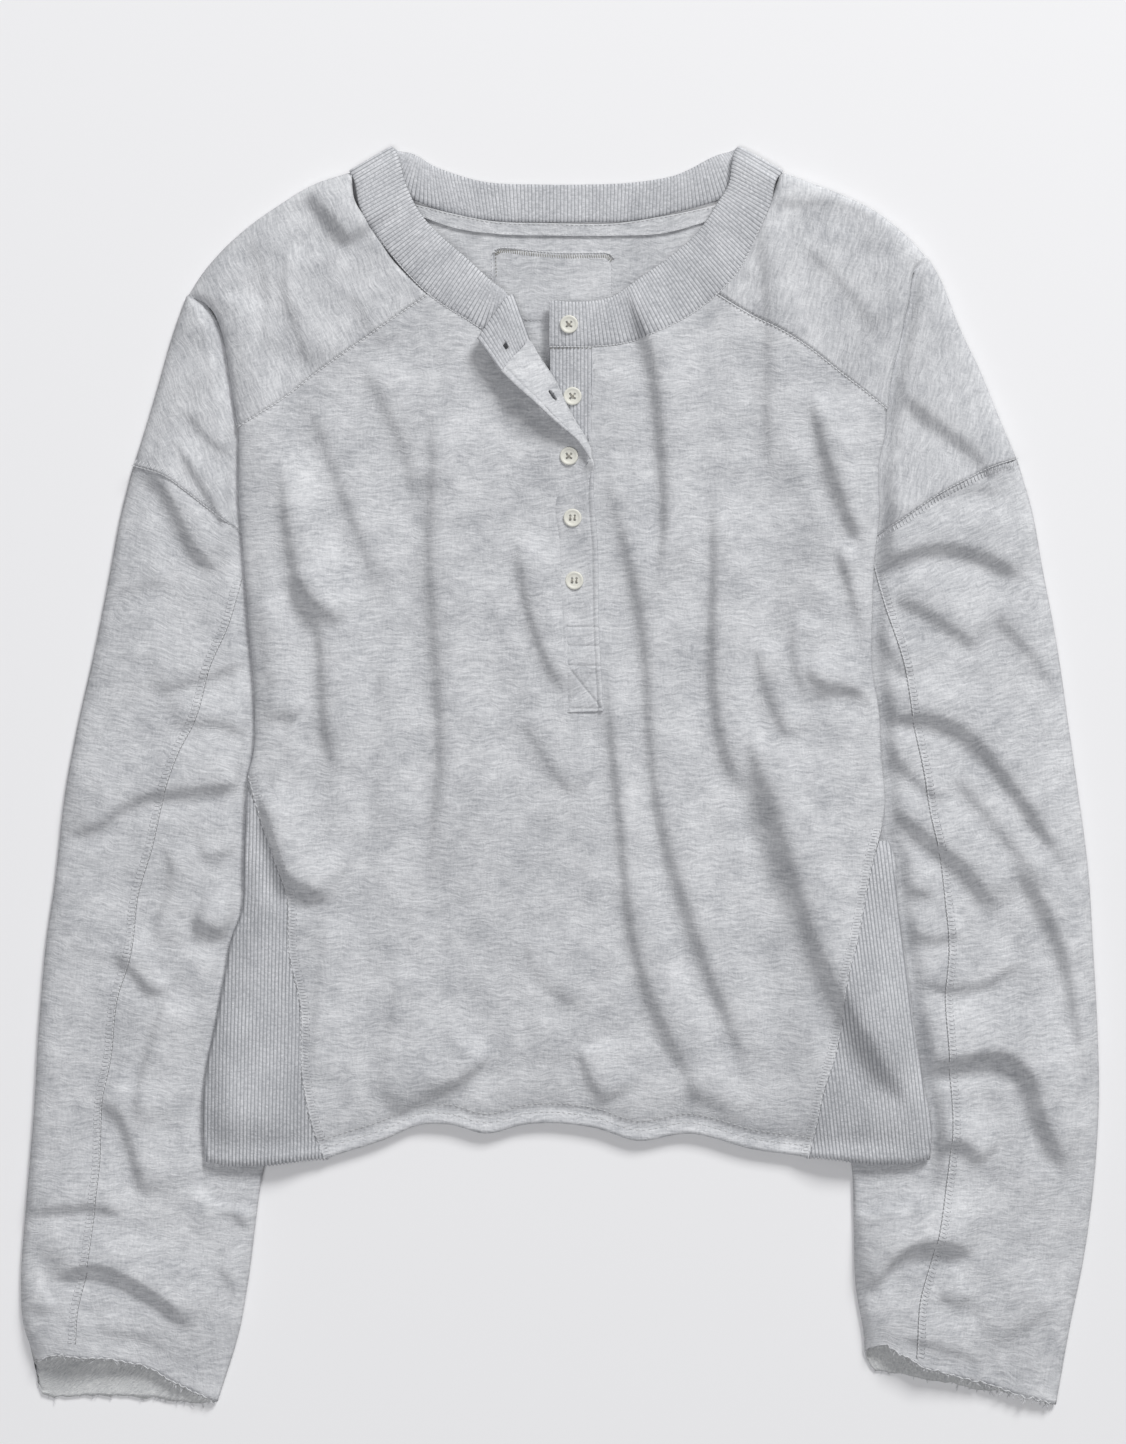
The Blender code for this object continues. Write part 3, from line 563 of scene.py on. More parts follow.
def threads(name, groups, radius, surface, sides=5):
    """Groups of runs of (x, y, z) points as one mesh of short ropes with tapered ends."""
    points, faces, base = [], [], 0
    turns = np.linspace(0.0, 2 * np.pi, sides, endpoint=False)
    for runs in groups:
        count, steps = runs.shape[:2]
        line = np.gradient(runs, axis=1)
        line /= np.linalg.norm(line, axis=2)[..., None] + 1e-9
        across = np.cross(line, (0.0, 0.0, 1.0))
        across /= np.linalg.norm(across, axis=2)[..., None] + 1e-9
        lift = np.cross(across, line)
        taper = 0.35 + 0.65 * np.sin(np.pi * np.linspace(0.06, 0.94, steps))
        thick = radius * taper[None, :, None, None]
        ring = np.cos(turns)[:, None] * across[:, :, None] + np.sin(turns)[:, None] * lift[:, :, None]
        points.append((runs[:, :, None] + thick * ring).reshape(-1, 3))
        for run in range(count):
            start = base + run * steps * sides
            for k in range(steps - 1):
                for m in range(sides):
                    a, b = start + k * sides + m, start + k * sides + (m + 1) % sides
                    faces.append((a, b, b + sides, a + sides))
            faces.append(tuple(start + m for m in range(sides))[::-1])
            faces.append(tuple(start + (steps - 1) * sides + m for m in range(sides)))
        base += count * steps * sides
    mesh = bpy.data.meshes.new(name)
    mesh.from_pydata((np.concatenate(points) * MM).tolist(), [], faces)
    mesh.materials.append(surface)
    mesh.shade_smooth()
    made = add_object(name, mesh)
    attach(made, "root")
    return made


def sleeve_top(x, y):
    """The upper face of a sleeve and of the yoke's outer part, away from their folded edges."""
    return sleeve_level(x, y, np.full_like(x, EDGE_RUN)) + CLOTH / 2


SLEEVE_SEAM = {
    "right": [(-178, 109), (-185, 84), (-195, 61), (-203, 32), (-213, 12), (-220, -8), (-228, -42),
              (-235, -65), (-240, -103), (-246, -121), (-251, -160), (-255, -179), (-257, -219),
              (-260, -246), (-264, -277), (-269, -299), (-270, -316)],
    "left": [(175, 118), (181, 96), (192, 61), (197, 30), (203, 1), (207, -24), (212, -45), (215, -72),
             (217, -98), (215, -120), (217, -159), (219, -192), (215, -233), (209, -265), (201, -293),
             (199, -324)],
}
SLEEVE_OVERLOCK = 4.2
# The cuff's upper layer settles on the lower one by this share, in the last part of the sleeve's
# length and in the part of its width away from its outer fold.
CUFF_SETTLE = 0.62
SETTLE_FROM = 0.88
SETTLE_CLEAR = 0.25
SETTLE_RUN = 0.45
LAYER_GAP = 0.4
FRAYS = 150

# Inside, the jersey is loopback: rows of soft loops about 1 mm apart stand across the sleeve.
loopback = marl("grey_marl_loopback_inside", "#DFE0DF", "#ABADAF", streak=(1.2, 3.4), column=(0.9, 2.6),
                relief=1.0)
raw_edge = np.random.default_rng(11)

for side in ("right", "left"):
    sections = curve(SLEEVE[side], SLEEVE_STATIONS)
    last = SLEEVE_STATIONS - 1
    rows, cuts = [], []
    seam_at, seam_off = seam_line(side)
    length = 0.0
    for i, section in enumerate(sections):
        outer, inner = section[:2], section[2:]
        across = inner - outer
        width = np.linalg.norm(across)
        across /= width
        down = np.array([across[1], -across[0]]) * (-1.0 if side == "left" else 1.0)
        if i:
            length += np.linalg.norm((outer + inner) / 2 - middle)
        middle = (outer + inner) / 2
        head = 1.0 - smooth(i / last * 6.0)
        tail = smooth((i / last - 0.72) / 0.26)
        ring, flat = [], []
        for layer, count in (("top", SLEEVE_ACROSS), ("under", UNDER_ACROSS)):
            s = np.linspace(0.0, 1.0, count + 1)
            cuff_at, cuff_off = zip(*CUFF_EDGE[side][layer])
            bow = head * np.interp(s, seam_at, seam_off) + tail * np.interp(s, cuff_at, cuff_off)
            if i == last:
                bow += raw_edge.normal(0.0, RAW_EDGE, count + 1)
            bow -= SEAM_TUCK * (1.0 - smooth(i / 3.0))
            at = outer + across * (TURN + s[:, None] * (width - 2 * TURN)) + down * bow[:, None]
            z = np.full(count + 1, FLOOR)
            if layer == "top":
                z = sleeve_level(at[:, 0], at[:, 1], np.minimum(s, 1.0 - s) * width)
                z = z - SEAM_DROP * (1.0 - smooth(i / 3.0))
                shut = smooth(((s if side == "right" else 1.0 - s) - SETTLE_CLEAR) / SETTLE_RUN)
                near = smooth((i / last - SETTLE_FROM) / (1.0 - SETTLE_FROM))
                z -= CUFF_SETTLE * near * shut * (z - FLOOR - CLOTH - LAYER_GAP)
            ring.append(np.column_stack([at, z]))
            flat.append(np.column_stack([s * width, length + bow]))
        mid = FLOOR + TURN
        turn_out = np.array([(*(outer + down * 0.8 * head), mid)])
        turn_in = np.array([(*(inner + down * 0.8 * head), mid)])
        rows.append(np.concatenate([turn_out, ring[0], turn_in, ring[1][::-1]]))
        back_flat = flat[1][::-1] * (-1.0, 1.0) + (2 * width, 0.0)
        ends = [np.array([(x, length)]) for x in (-TURN, width + TURN, 2 * width + TURN)]
        cuts.append(np.concatenate([ends[0], flat[0], ends[1], back_flat, ends[2]]))
    grid, cut = np.array(rows), np.array(cuts) * MM
    faces = [jersey, loopback] if side == "left" else [loopback, jersey]
    sleeve = cloth(f"sleeve_{side}_tube", grid, cut, CLOTH, faces, [f"sleeve_{side}"],
                   closed=True)

    # The one long seam, overlocked on the outside, and the ends of the yarns that the raw cuff sheds.
    outward = -1.0 if side == "right" else 1.0
    width = SLEEVE_OVERLOCK * outward
    # The overlock's darker grey is partly painted shade between its stitches.
    threads(f"sleeve_{side}_overlock", [
        crossing(SLEEVE_SEAM[side], sleeve_top, 2.3, 0.9 * outward, width, 0.8, 0.2),
        running(SLEEVE_SEAM[side], sleeve_top, 2.3, 1.3, width, 0.2),
    ], 0.19, overlock_thread_and_shade)
    # Painted shade: the seam's groove is drawn as a line of dark thread.
    threads(f"sleeve_{side}_seam", [
        running(SLEEVE_SEAM[side], sleeve_top, 2.4, 2.6, 0.0, 0.2),
    ], 0.24, seam_groove_shade_thread)
    threads(f"sleeve_{side}_seam_roll", [
        running(SLEEVE_SEAM[side], sleeve_top, 2.1, 2.3, 0.55 * outward, 0.35),
    ], 0.34, edge_yarn)
    threads(f"drop_seam_{side}_overlock", [
        running(DROP_SEAM[side], lambda x, y: sleeve_top(x, y) - 0.1, 2.1, 2.3, 0.0, 0.3),
        crossing(DROP_SEAM[side], sleeve_top, 2.1, 0.6, 3.6, 0.8, 0.15),
    ], 0.3, edge_yarn)
    cuff = grid[-1, raw_edge.integers(1, grid.shape[1] - 1, FRAYS)]
    shed = raw_edge.normal((0.0, -1.0, 0.0), (0.7, 0.4, 0.2), (FRAYS, 3))
    shed = shed * raw_edge.uniform(0.6, 2.4, (FRAYS, 1))
    bend = raw_edge.normal(0.0, 0.4, (FRAYS, 3)) * (1.0, 1.0, 0.2)
    t = np.linspace(0.0, 1.0, 5)[None, :, None]
    frays = cuff[:, None] + shed[:, None] * t + bend[:, None] * t * t
    frays[..., 2] = np.maximum(frays[..., 2], 0.2)
    rim = grid[-1, 2:SLEEVE_ACROSS] + (0.0, 0.2, 0.45)
    rim = np.stack([rim[k:k + 4] for k in range(0, len(rim) - 3, 3)])
    threads(f"cuff_{side}_frays", [frays], 0.2, edge_yarn)
    threads(f"cuff_{side}_raw_edge", [rim], 0.42, edge_yarn)


# ---- Yokes ----------------------------------------------------------------------------------------
# Each shoulder yoke is one piece folded over the shoulder line, cut across the grain, so its streaks
# run down. Beside the body a crease drops to its outer part, which ends at the drop seam.
BODY_GAP = 1.6
BODY_LOFT = 3.6
BODY_RUN = 22.0
YOKE_COLUMNS = 56
YOKE_ROWS = 44
SHOULDER = {
    "right": [(-117, 337), (-138, 330), (-158, 318), (-176, 305), (-189, 293), (-200, 280), (-207, 269)],
    "left": [(124, 337), (141, 331), (161, 323), (175, 316), (186, 308), (197, 298), (204, 290)],
}
SLEEVE_HEAD = {
    "right": [(-207, 269), (-215, 247), (-224, 217), (-233, 188), (-238, 173)],
    "left": [(204, 290), (211, 278), (222, 251), (235, 224), (245, 200), (255, 177)],
}
YOKE_SEAM = {
    "right": [(-73, 269), (-86, 260), (-112, 242), (-136, 225), (-158, 208), (-179, 195)],
    "left": [(87, 269), (105, 258), (119, 251), (136, 241), (158, 224), (182, 205)],
}
YOKE_NECK = {
    "right": [(-117, 337), (-115, 321), (-106, 307), (-94, 288), (-74, 269)],
    "left": [(124, 337), (117, 318), (107, 297), (99, 283), (88, 270)],
}
YOKE_BACK_NECK = {
    "right": [(-117, 337), (-105, 328), (-88, 321)],
    "left": [(124, 337), (111, 328), (94, 320)],
}
BODY_FOLDS = [
    # Yokes.
    (5.2, 5, 18, [(-144, 328), (-136, 319), (-126, 308), (-116, 295)]),
    (2.8, 5, 15, [(-152, 300), (-154, 272), (-147, 249), (-139, 224)]),
    (1.9, 5, 16, [(-176, 305), (-167, 286), (-164, 261), (-167, 233)]),
    (1.5, 5, 14, [(-119, 272), (-105, 249), (-92, 237)]),
    (2.4, 5, 20, [(115, 319), (140, 320), (162, 319), (179, 310)]),
    (3.2, 6, 18, [(113, 322), (114, 289), (116, 249), (116, 199), (119, 151)]),
    (1.5, 5, 18, [(134, 297), (160, 272), (179, 244)]),
    (2.1, 5, 14, [(193, 266), (188, 238), (186, 210)]),
    # Wearer's right of the placket.
    (5.3, 7.5, 22, [(-73, 221), (-71, 182), (-73, 132), (-71, 87), (-68, 42), (-67, 9), (-71, -31),
                    (-76, -70)]),
    (4.7, 6, 16, [(-157, 188), (-152, 137), (-146, 107), (-136, 84), (-133, 53), (-130, 20), (-120, -8)]),
    (3.8, 5, 13, [(-151, 115), (-141, 99), (-129, 90), (-118, 86)]),
    (2.6, 5, 16, [(-142, 213), (-133, 188), (-123, 160), (-109, 126), (-102, 98)]),
    (2.4, 5, 16, [(-112, 233), (-98, 205), (-87, 182), (-83, 154)]),
    (1.9, 6, 16, [(-100, 76), (-101, 42), (-103, -3), (-105, -36)]),
    (3.6, 5, 15, [(-25, 135), (-18, 93), (-8, 65), (4, 42)]),
    (2.1, 6, 16, [(-24, 34), (-8, 9), (8, -14)]),
    (6.6, 5, 18, [(-169, -8), (-160, -37), (-151, -59), (-139, -65), (-126, -73)]),
    (2.4, 6, 16, [(-130, -73), (-133, -103), (-137, -143), (-140, -176)]),
    (1.9, 6, 16, [(-92, -103), (-95, -143), (-101, -173)]),
    (2.8, 4.5, 12, [(-167, 30), (-154, 34), (-146, 30)]),
    (2.3, 5, 16, [(-174, 98), (-167, 76), (-169, 48)]),
    # Wearer's left of the placket.
    (5.3, 6, 18, [(22, 179), (34, 137), (42, 104), (48, 65), (50, 20), (57, -31), (67, -64), (80, -103),
                  (96, -143), (112, -190)]),
    (4.7, 5, 15, [(25, 65), (29, 20), (34, -31), (37, -64), (41, -92), (49, -120), (60, -145), (81, -187)]),
    (5.3, 5, 16, [(35, 275), (46, 249), (54, 210), (57, 177), (58, 137), (52, 98)]),
    (5.1, 5, 16, [(85, 165), (86, 121), (85, 76), (87, 37), (93, 9), (105, -19)]),
    (5.1, 5, 15, [(139, 216), (149, 177), (160, 146), (172, 121)]),
    (4.7, 5, 14, [(152, 132), (161, 109), (168, 86), (185, 62)]),
    (4.3, 5, 15, [(134, 62), (146, 51), (162, 48), (182, 38)]),
    (8.5, 7.5, 24, [(100, 34), (110, 3), (121, -31), (132, -64), (143, -98), (160, -131), (178, -162),
                    (202, -192)]),
    (3.2, 5, 12, [(108, 76), (115, 48), (128, 17)]),
    (2.8, 5, 14, [(132, 93), (130, 65), (138, 37)]),
    (5.3, 5, 16, [(-96, -192), (-73, -179), (-57, -171), (-35, -154)]),
    (3.8, 5, 15, [(10, -151), (16, -168), (25, -185)]),
    (2.3, 6, 16, [(67, -173), (87, -185), (101, -196)]),
    (2.1, 7, 18, [(190, -53), (193, -87), (192, -120)]),
    (2.4, 5, 14, [(174, 17), (178, -14), (175, -42)]),
    (2.8, 5, 16, [(-196, -126), (-199, -159), (-198, -187), (-194, -210)]),
    (2.1, 6, 16, [(-22, -89), (-8, -117), (17, -131)]),
]


# The cloth settles towards the hem, over this height; the hem's roll stands up at its edge, and its
# stitches draw a groove above it.
HEM_CURVE = curve(HEM, 80)
HEM_SETTLE = 0.25
HEM_SETTLE_RUN = 28.0
HEM_ROLL = 1.5
HEM_ROLL_WIDTH = 3.6
HEM_GROOVE = 1.0
HEM_GROOVE_AT = 8.2
HEM_GROOVE_WIDTH = 2.7


def front_level(x, y):
    """The body's front, over its back, puffed out below the hem's stitches."""
    away = inside(x, y, body_edge)
    uneven = rumple(x, y * 0.45, 27.0, 1) + 0.45 * rumple(x, y * 0.5, 12.0, 2) + 0.2 * rumple(x, y, 7.0, 3)
    loft = rounded(away / BODY_RUN) * BODY_LOFT + smooth(away / 14.0) * (uneven + folds(x, y, BODY_FOLDS))
    above_hem = y - np.interp(x, HEM_CURVE[:, 0], HEM_CURVE[:, 1])
    loft *= HEM_SETTLE + (1.0 - HEM_SETTLE) * smooth(above_hem / HEM_SETTLE_RUN)
    roll = HEM_ROLL * np.exp(-((above_hem / HEM_ROLL_WIDTH) ** 2))
    groove = HEM_GROOVE * np.exp(-(((above_hem - HEM_GROOVE_AT) / HEM_GROOVE_WIDTH) ** 2))
    return under_level(x, y) + BODY_GAP + np.maximum(loft, 0.0) + (roll - groove) * smooth(away / 40.0)


def turned(points, angle):
    """Points turned on the flat, so that the courses run at this angle."""
    a = math.radians(-angle)
    x, y = points[..., 0], points[..., 1]
    return np.stack([x * math.cos(a) - y * math.sin(a), x * math.sin(a) + y * math.cos(a)], axis=-1) * MM


def tucked(edge, turn):
    """Two columns that carry an edge on beneath its neighbour; turn is the way out from its line."""
    line = np.gradient(edge[:, :2], axis=0)
    line /= np.linalg.norm(line, axis=1)[:, None] + 1e-9
    c, s = math.cos(math.radians(turn)), math.sin(math.radians(turn))
    out = np.column_stack([line[:, 0] * c - line[:, 1] * s, line[:, 0] * s + line[:, 1] * c])
    far = np.column_stack([edge[:, :2] + out * SEAM_TUCK, edge[:, 2] - SEAM_DROP])
    near = np.column_stack([edge[:, :2] + out * SEAM_TUCK * 0.4, edge[:, 2] - SEAM_DROP * 0.8])
    return np.stack([far, near], axis=1)


YOKE_GRAIN = {"right": -68.0, "left": 76.0}

for side in ("right", "left"):
    away = -1.0 if side == "right" else 1.0
    upper = curve(SHOULDER[side], YOKE_COLUMNS)
    lower = curve(SLEEVE_HEAD[side], YOKE_COLUMNS)
    lower[0] += (lower[1] - lower[0]) * 0.8
    seam = curve(YOKE_SEAM[side], YOKE_COLUMNS)
    body = patch(upper, seam, curve(YOKE_NECK[side], YOKE_ROWS), curve(CREASE[side], YOKE_ROWS))
    hidden = curve(TUCKED_SIDE[side], YOKE_COLUMNS)
    foot = curve([tuple(lower[0])] + CREASE[side][1:], YOKE_ROWS)
    foot[:, 0] += away * 1.2
    hidden[0] = foot[-1]
    outer = patch(lower, hidden, foot, curve(DROP_SEAM[side], YOKE_ROWS))
    rise = rounded(np.linalg.norm(body - body[:1], axis=-1) / EDGE_RUN)
    start = FLOOR + 2 * TURN
    body_z = start + (front_level(body[..., 0], body[..., 1]) - start) * rise
    outer_z = sleeve_level(outer[..., 0], outer[..., 1], np.linalg.norm(outer - outer[:1], axis=-1))
    top = np.concatenate([np.dstack([body, body_z]), np.dstack([outer, outer_z])], axis=1)
    line = np.concatenate([upper, lower])
    back_edge = np.concatenate([
        curve(BACK_YOKE_SEAM[side], YOKE_COLUMNS),
        curve(TUCKED_SIDE[side], YOKE_COLUMNS + 1)[1:],
    ])
    under = patch(line, back_edge, curve(YOKE_BACK_NECK[side], YOKE_ROWS), curve(DROP_SEAM[side], YOKE_ROWS))
    under = np.dstack([under, np.full(under.shape[:2], FLOOR)])
    inward = top[1, :, :2] - top[0, :, :2]
    inward /= np.linalg.norm(inward, axis=1)[:, None]
    middle = top[:1].copy()
    middle[0, :, 2] = FLOOR + TURN
    top[0, :, :2] += inward * TURN * 0.6
    under[0, :, :2] += inward * TURN * 0.6
    grid = np.concatenate([under[::-1], middle, top])
    grid = np.concatenate([tucked(grid[:, 0], away * 90.0), grid], axis=1)
    yoke = cloth(f"yoke_{side}_panel", grid, turned(grid[..., :2], YOKE_GRAIN[side]), CLOTH, [jersey],
                 [f"yoke_{side}"])


# ---- Front panel ----------------------------------------------------------------------------------
# One jersey panel with a coverstitched, rolling hem. Its upper edges go under the yokes and the
# neckband, except at the neck, where the placket's corner is turned back over a soft fold.
NECKLINE_RIGHT = [(-73, 269), (-58, 259), (-41, 247), (-19, 241)]
FLAP_FOLD = [(-18, 243), (-10.6, 231.6), (-3.9, 221.5), (2.8, 207.5), (8.7, 196.5), (15.6, 186)]
SLIT_LEFT = [(17.5, 185), (18, 239)]
NECKLINE_LEFT = [(18, 239), (35, 241), (58, 249), (80, 262), (87, 268)]
FRONT_COLUMNS = {"yoke": 56, "neck": 28, "flap": 30, "slit": 8, "neck_left": 36, "yoke_left": 52}
FRONT_ROWS = 192
FOLD_RISE = 2.4

n = FRONT_COLUMNS
top = joined([
    curve(YOKE_SEAM["right"][::-1], n["yoke"] + 1),
    curve(NECKLINE_RIGHT, n["neck"] + 1),
    curve(FLAP_FOLD, n["flap"] + 1),
    curve(SLIT_LEFT, n["slit"] + 1),
    curve(NECKLINE_LEFT, n["neck_left"] + 1),
    curve(YOKE_SEAM["left"], n["yoke_left"] + 1),
])
top[:, 1] -= 0.4
hem = curve(HEM, len(top))
sides = {s: curve((SIDE_FOLD[s][:-1] + GUSSET_SEAM[s])[::-1], FRONT_ROWS) for s in SIDE_FOLD}
for s, side in sides.items():
    side[-1] = top[0] if s == "right" else top[-1]
grid = on_level(patch(hem, top, sides["right"], sides["left"]), front_level)
rolls = np.repeat([-1.0, 1.0, -0.3, -1.0], [n["yoke"] + n["neck"], n["flap"], n["slit"],
                                            n["neck_left"] + n["yoke_left"] + 1])
rolls = np.convolve(np.pad(rolls, 2, mode="edge"), np.full(5, 0.2), mode="valid")
line = np.gradient(top, axis=0)
line /= np.linalg.norm(line, axis=1)[:, None]
outward = np.column_stack([-line[:, 1], line[:, 0]]) * np.where(rolls < 0, -rolls * SEAM_TUCK, 0.7)[:, None]
for step in (0.45, 1.0):
    rise = np.where(rolls < 0, rolls * SEAM_DROP * math.sqrt(step), rolls * FOLD_RISE * step)
    beyond = np.column_stack([top + outward * math.sin(step * 2.2), grid[FRONT_ROWS - 1, :, 2] + rise])
    grid = np.concatenate([grid, beyond[None]])
for column, sign, gusset_top in ((0, 1.0, -25.0), (-1, -1.0, -50.0)):
    edge = grid[:, column].copy()
    edge[:, 2] -= 0.8 * smooth((edge[:, 1] - gusset_top) / 25.0)
    grid[:, column, 0] += sign * 0.6
    grid = np.concatenate([edge[:, None], grid] if column == 0 else [grid, edge[:, None]], axis=1)
front_body = cloth("front_body_panel", grid, grid[..., :2] * MM, CLOTH, [jersey],
                   ["front_body"])

# The hem's coverstitch, a little above its edge.
HEM_STITCH = 11.0


def front_top(x, y):
    """The upper face of the front panel and the gussets."""
    return front_level(x, y) + CLOTH / 2


hem_line = [(x, y + HEM_STITCH) for x, y in HEM]
threads("hem_coverstitch", [
    running(hem_line, front_top, 3.2, 2.5, offset) for offset in (0.0, -5.0)
], 0.22, seam_thread)

# The yoke's raw edge is rolled and beaded by the overlock that holds it down.
for side, sign in (("right", -1.0), ("left", 1.0)):
    threads(f"yoke_seam_{side}_edge", [
        running(YOKE_SEAM[side], lambda x, y: front_top(x, y) - 0.15, 2.3, 2.5, 0.2 * sign, 0.42),
    ], 0.42, edge_yarn)
    threads(f"yoke_seam_{side}_overlock", [
        crossing(YOKE_SEAM[side], front_top, 2.3, 0.5 * sign, 2.2 * sign, 0.9, 0.15),
        running(YOKE_SEAM[side], front_top, 2.3, 1.1, -0.8 * sign, 0.1),
    ], 0.17, seam_thread)


# ---- Side gussets ---------------------------------------------------------------------------------
# A wedge of one-by-one rib let into each side, front and back in one piece, its ribs running down.
# Its seams are overlocked on the outside, in a strip on the body's side.
GUSSET_ROWS = 46
GUSSET_ACROSS = 200
GUSSET_RIB = 0.13
UNDER_GUSSET = 50
# Its front edge and its point are tucked under the body's seam.
GUSSET_LAP = 2.5
SEAM_RUN = 3.4
APEX_TUCK = 5.5
APEX_DROP = 1.0
APEX_RUN = 9.0
# The hem hangs a little lower towards its outer corner.
HEM_DROOP = 3.6
DROOP_RUN = 50.0
RIB_BEAD = 0.9
# How far the ribs lean outwards on their way down.
RIB_LEAN = {"right": 0.02, "left": 0.12}
RIB_PITCH = 2.0


def ribbed(name, light, dark, groove, wide=0.1):
    """Marled one-by-one rib: its purl stitches lie back between the ribs, and the shade in these grooves is
    painted into the colour as dark lines.
    """
    made = marl(name, light, dark, streak=(1.5, 2.8), column=(0.8, 1.6))
    tree = made.node_tree
    shader = tree.nodes["Principled BSDF"]
    cut = add(tree, "ShaderNodeUVMap", uv_map="cut")
    # Painted shade: the groove colour is mixed in along each groove between the ribs, standing for the shade
    # that falls there.
    place = add(tree, "ShaderNodeSeparateXYZ", {"Vector": cut.outputs["UV"]})
    phase = add(tree, "ShaderNodeMath", {0: place.outputs["Y"], 1: 2 * math.pi / (RIB_PITCH * MM)},
                operation="MULTIPLY")
    crown = add(tree, "ShaderNodeMath", {0: phase.outputs["Value"]}, operation="COSINE")
    purl = add(tree, "ShaderNodeMapRange", {"Value": crown.outputs["Value"], "From Min": -1.0,
                                            "From Max": wide, "To Min": 1.0, "To Max": 0.0})
    marled = shader.inputs["Base Color"].links[0].from_socket
    between = add(tree, "ShaderNodeMix", {"Factor": purl.outputs["Result"], 6: marled, 7: linear(groove)},
                  data_type="RGBA")
    tree.links.new(between.outputs[2], shader.inputs["Base Color"])
    return made


# The groove colours are painted shade, darker on the band.
rib_knit = ribbed("grey_marl_rib_groove_shade_matt", "#D6D7DA", "#A5A7AB", "#909296")
band_knit = ribbed("grey_marl_band_rib_groove_shade_matt", "#D7D8DB", "#A5A7AB", "#818387", 0.0)

for side in ("right", "left"):
    away = -1.0 if side == "right" else 1.0
    apex, low = GUSSET_SEAM[side][0][1] - APEX_TUCK, GUSSET_SEAM[side][-1][1]
    rows, cuts = [], []
    for y in np.linspace(apex, low, GUSSET_ROWS):
        seam, fold = x_at(GUSSET_SEAM[side], y), x_at(GUSSET_FOLD[side], y)
        rings = []
        lean = RIB_LEAN[side] * (y - low) * away
        droop = HEM_DROOP * smooth(1.0 - (y - low) / DROOP_RUN)
        for start, level, count in (
            (seam - away * GUSSET_LAP, front_level, GUSSET_ACROSS),
            (seam + away, under_level, UNDER_GUSSET),
        ):
            across = np.linspace(start, fold - away * TURN, count)
            part = np.clip((across - seam) / (fold - seam), 0.0, 1.0)
            ys = y - droop * (smooth(part / 0.6) - 0.6 * smooth((part - 0.8) / 0.2))
            z = level(across, ys) - APEX_DROP * (1.0 - smooth((apex - y) / APEX_RUN))
            if level is front_level:
                crown = np.cos(2 * np.pi * (across + lean) / RIB_PITCH)
                ys -= (0.5 + 0.5 * crown) * (RIB_BEAD if y == low else 0.0)
                z += GUSSET_RIB * crown - SEAM_DROP * (1.0 - smooth((across - start) * away / SEAM_RUN))
            rings.append(np.stack([across, ys, z], axis=1))
        turn = np.array([[fold, rings[0][-1, 1], (rings[0][-1, 2] + rings[1][-1, 2]) / 2]])
        ring = np.concatenate([rings[0], turn, rings[1][::-1]])
        rows.append(ring)
        flat = np.concatenate([rings[0][:, 0], [fold], 2 * fold - rings[1][::-1, 0]]) + lean
        cuts.append(np.stack([ring[:, 1], flat], axis=1))
    gusset = cloth(f"gusset_{side}_rib", np.array(rows), np.array(cuts) * MM, CLOTH, [rib_knit],
                   [f"gusset_{side}"])
    rows = GUSSET_SEAM[side]
    # The overlock's darker grey is partly painted shade between its stitches.
    threads(f"gusset_{side}_overlock", [
        crossing(rows, front_top, 1.7, -0.6 * away, -4.6 * away, 0.6, 0.2),
        running(rows, front_top, 2.9, 1.3, -4.7 * away, 0.25),
    ], 0.17, overlock_thread_and_shade)
    # Painted shade: the seam's groove is drawn as a line of dark thread.
    threads(f"gusset_{side}_seam", [
        running(rows, front_top, 2.7, 1.9, 0.5 * away, 0.1),
    ], 0.22, seam_groove_shade_thread)
    threads(f"gusset_{side}_edge", [
        running(rows, front_top, 3.3, 1.9, -0.3 * away, 0.3),
    ], 0.33, edge_yarn)


# ---- Neckband -------------------------------------------------------------------------------------
# A double band of the same rib, its ribs across it, from the button end round the back of the neck to
# the buttonhole end, which is turned back with the placket's corner.
BAND = 2.0
BAND_SEAT = 0.1
FRONT_BAND = 6.3
BACK_BAND = 1.1
BAND_ROUND = 0.55
BAND_STATIONS = 1850
BAND_RIB = 0.09
BAND_CROWN = 0.4
BAND_EDGE_RUN = 0.09
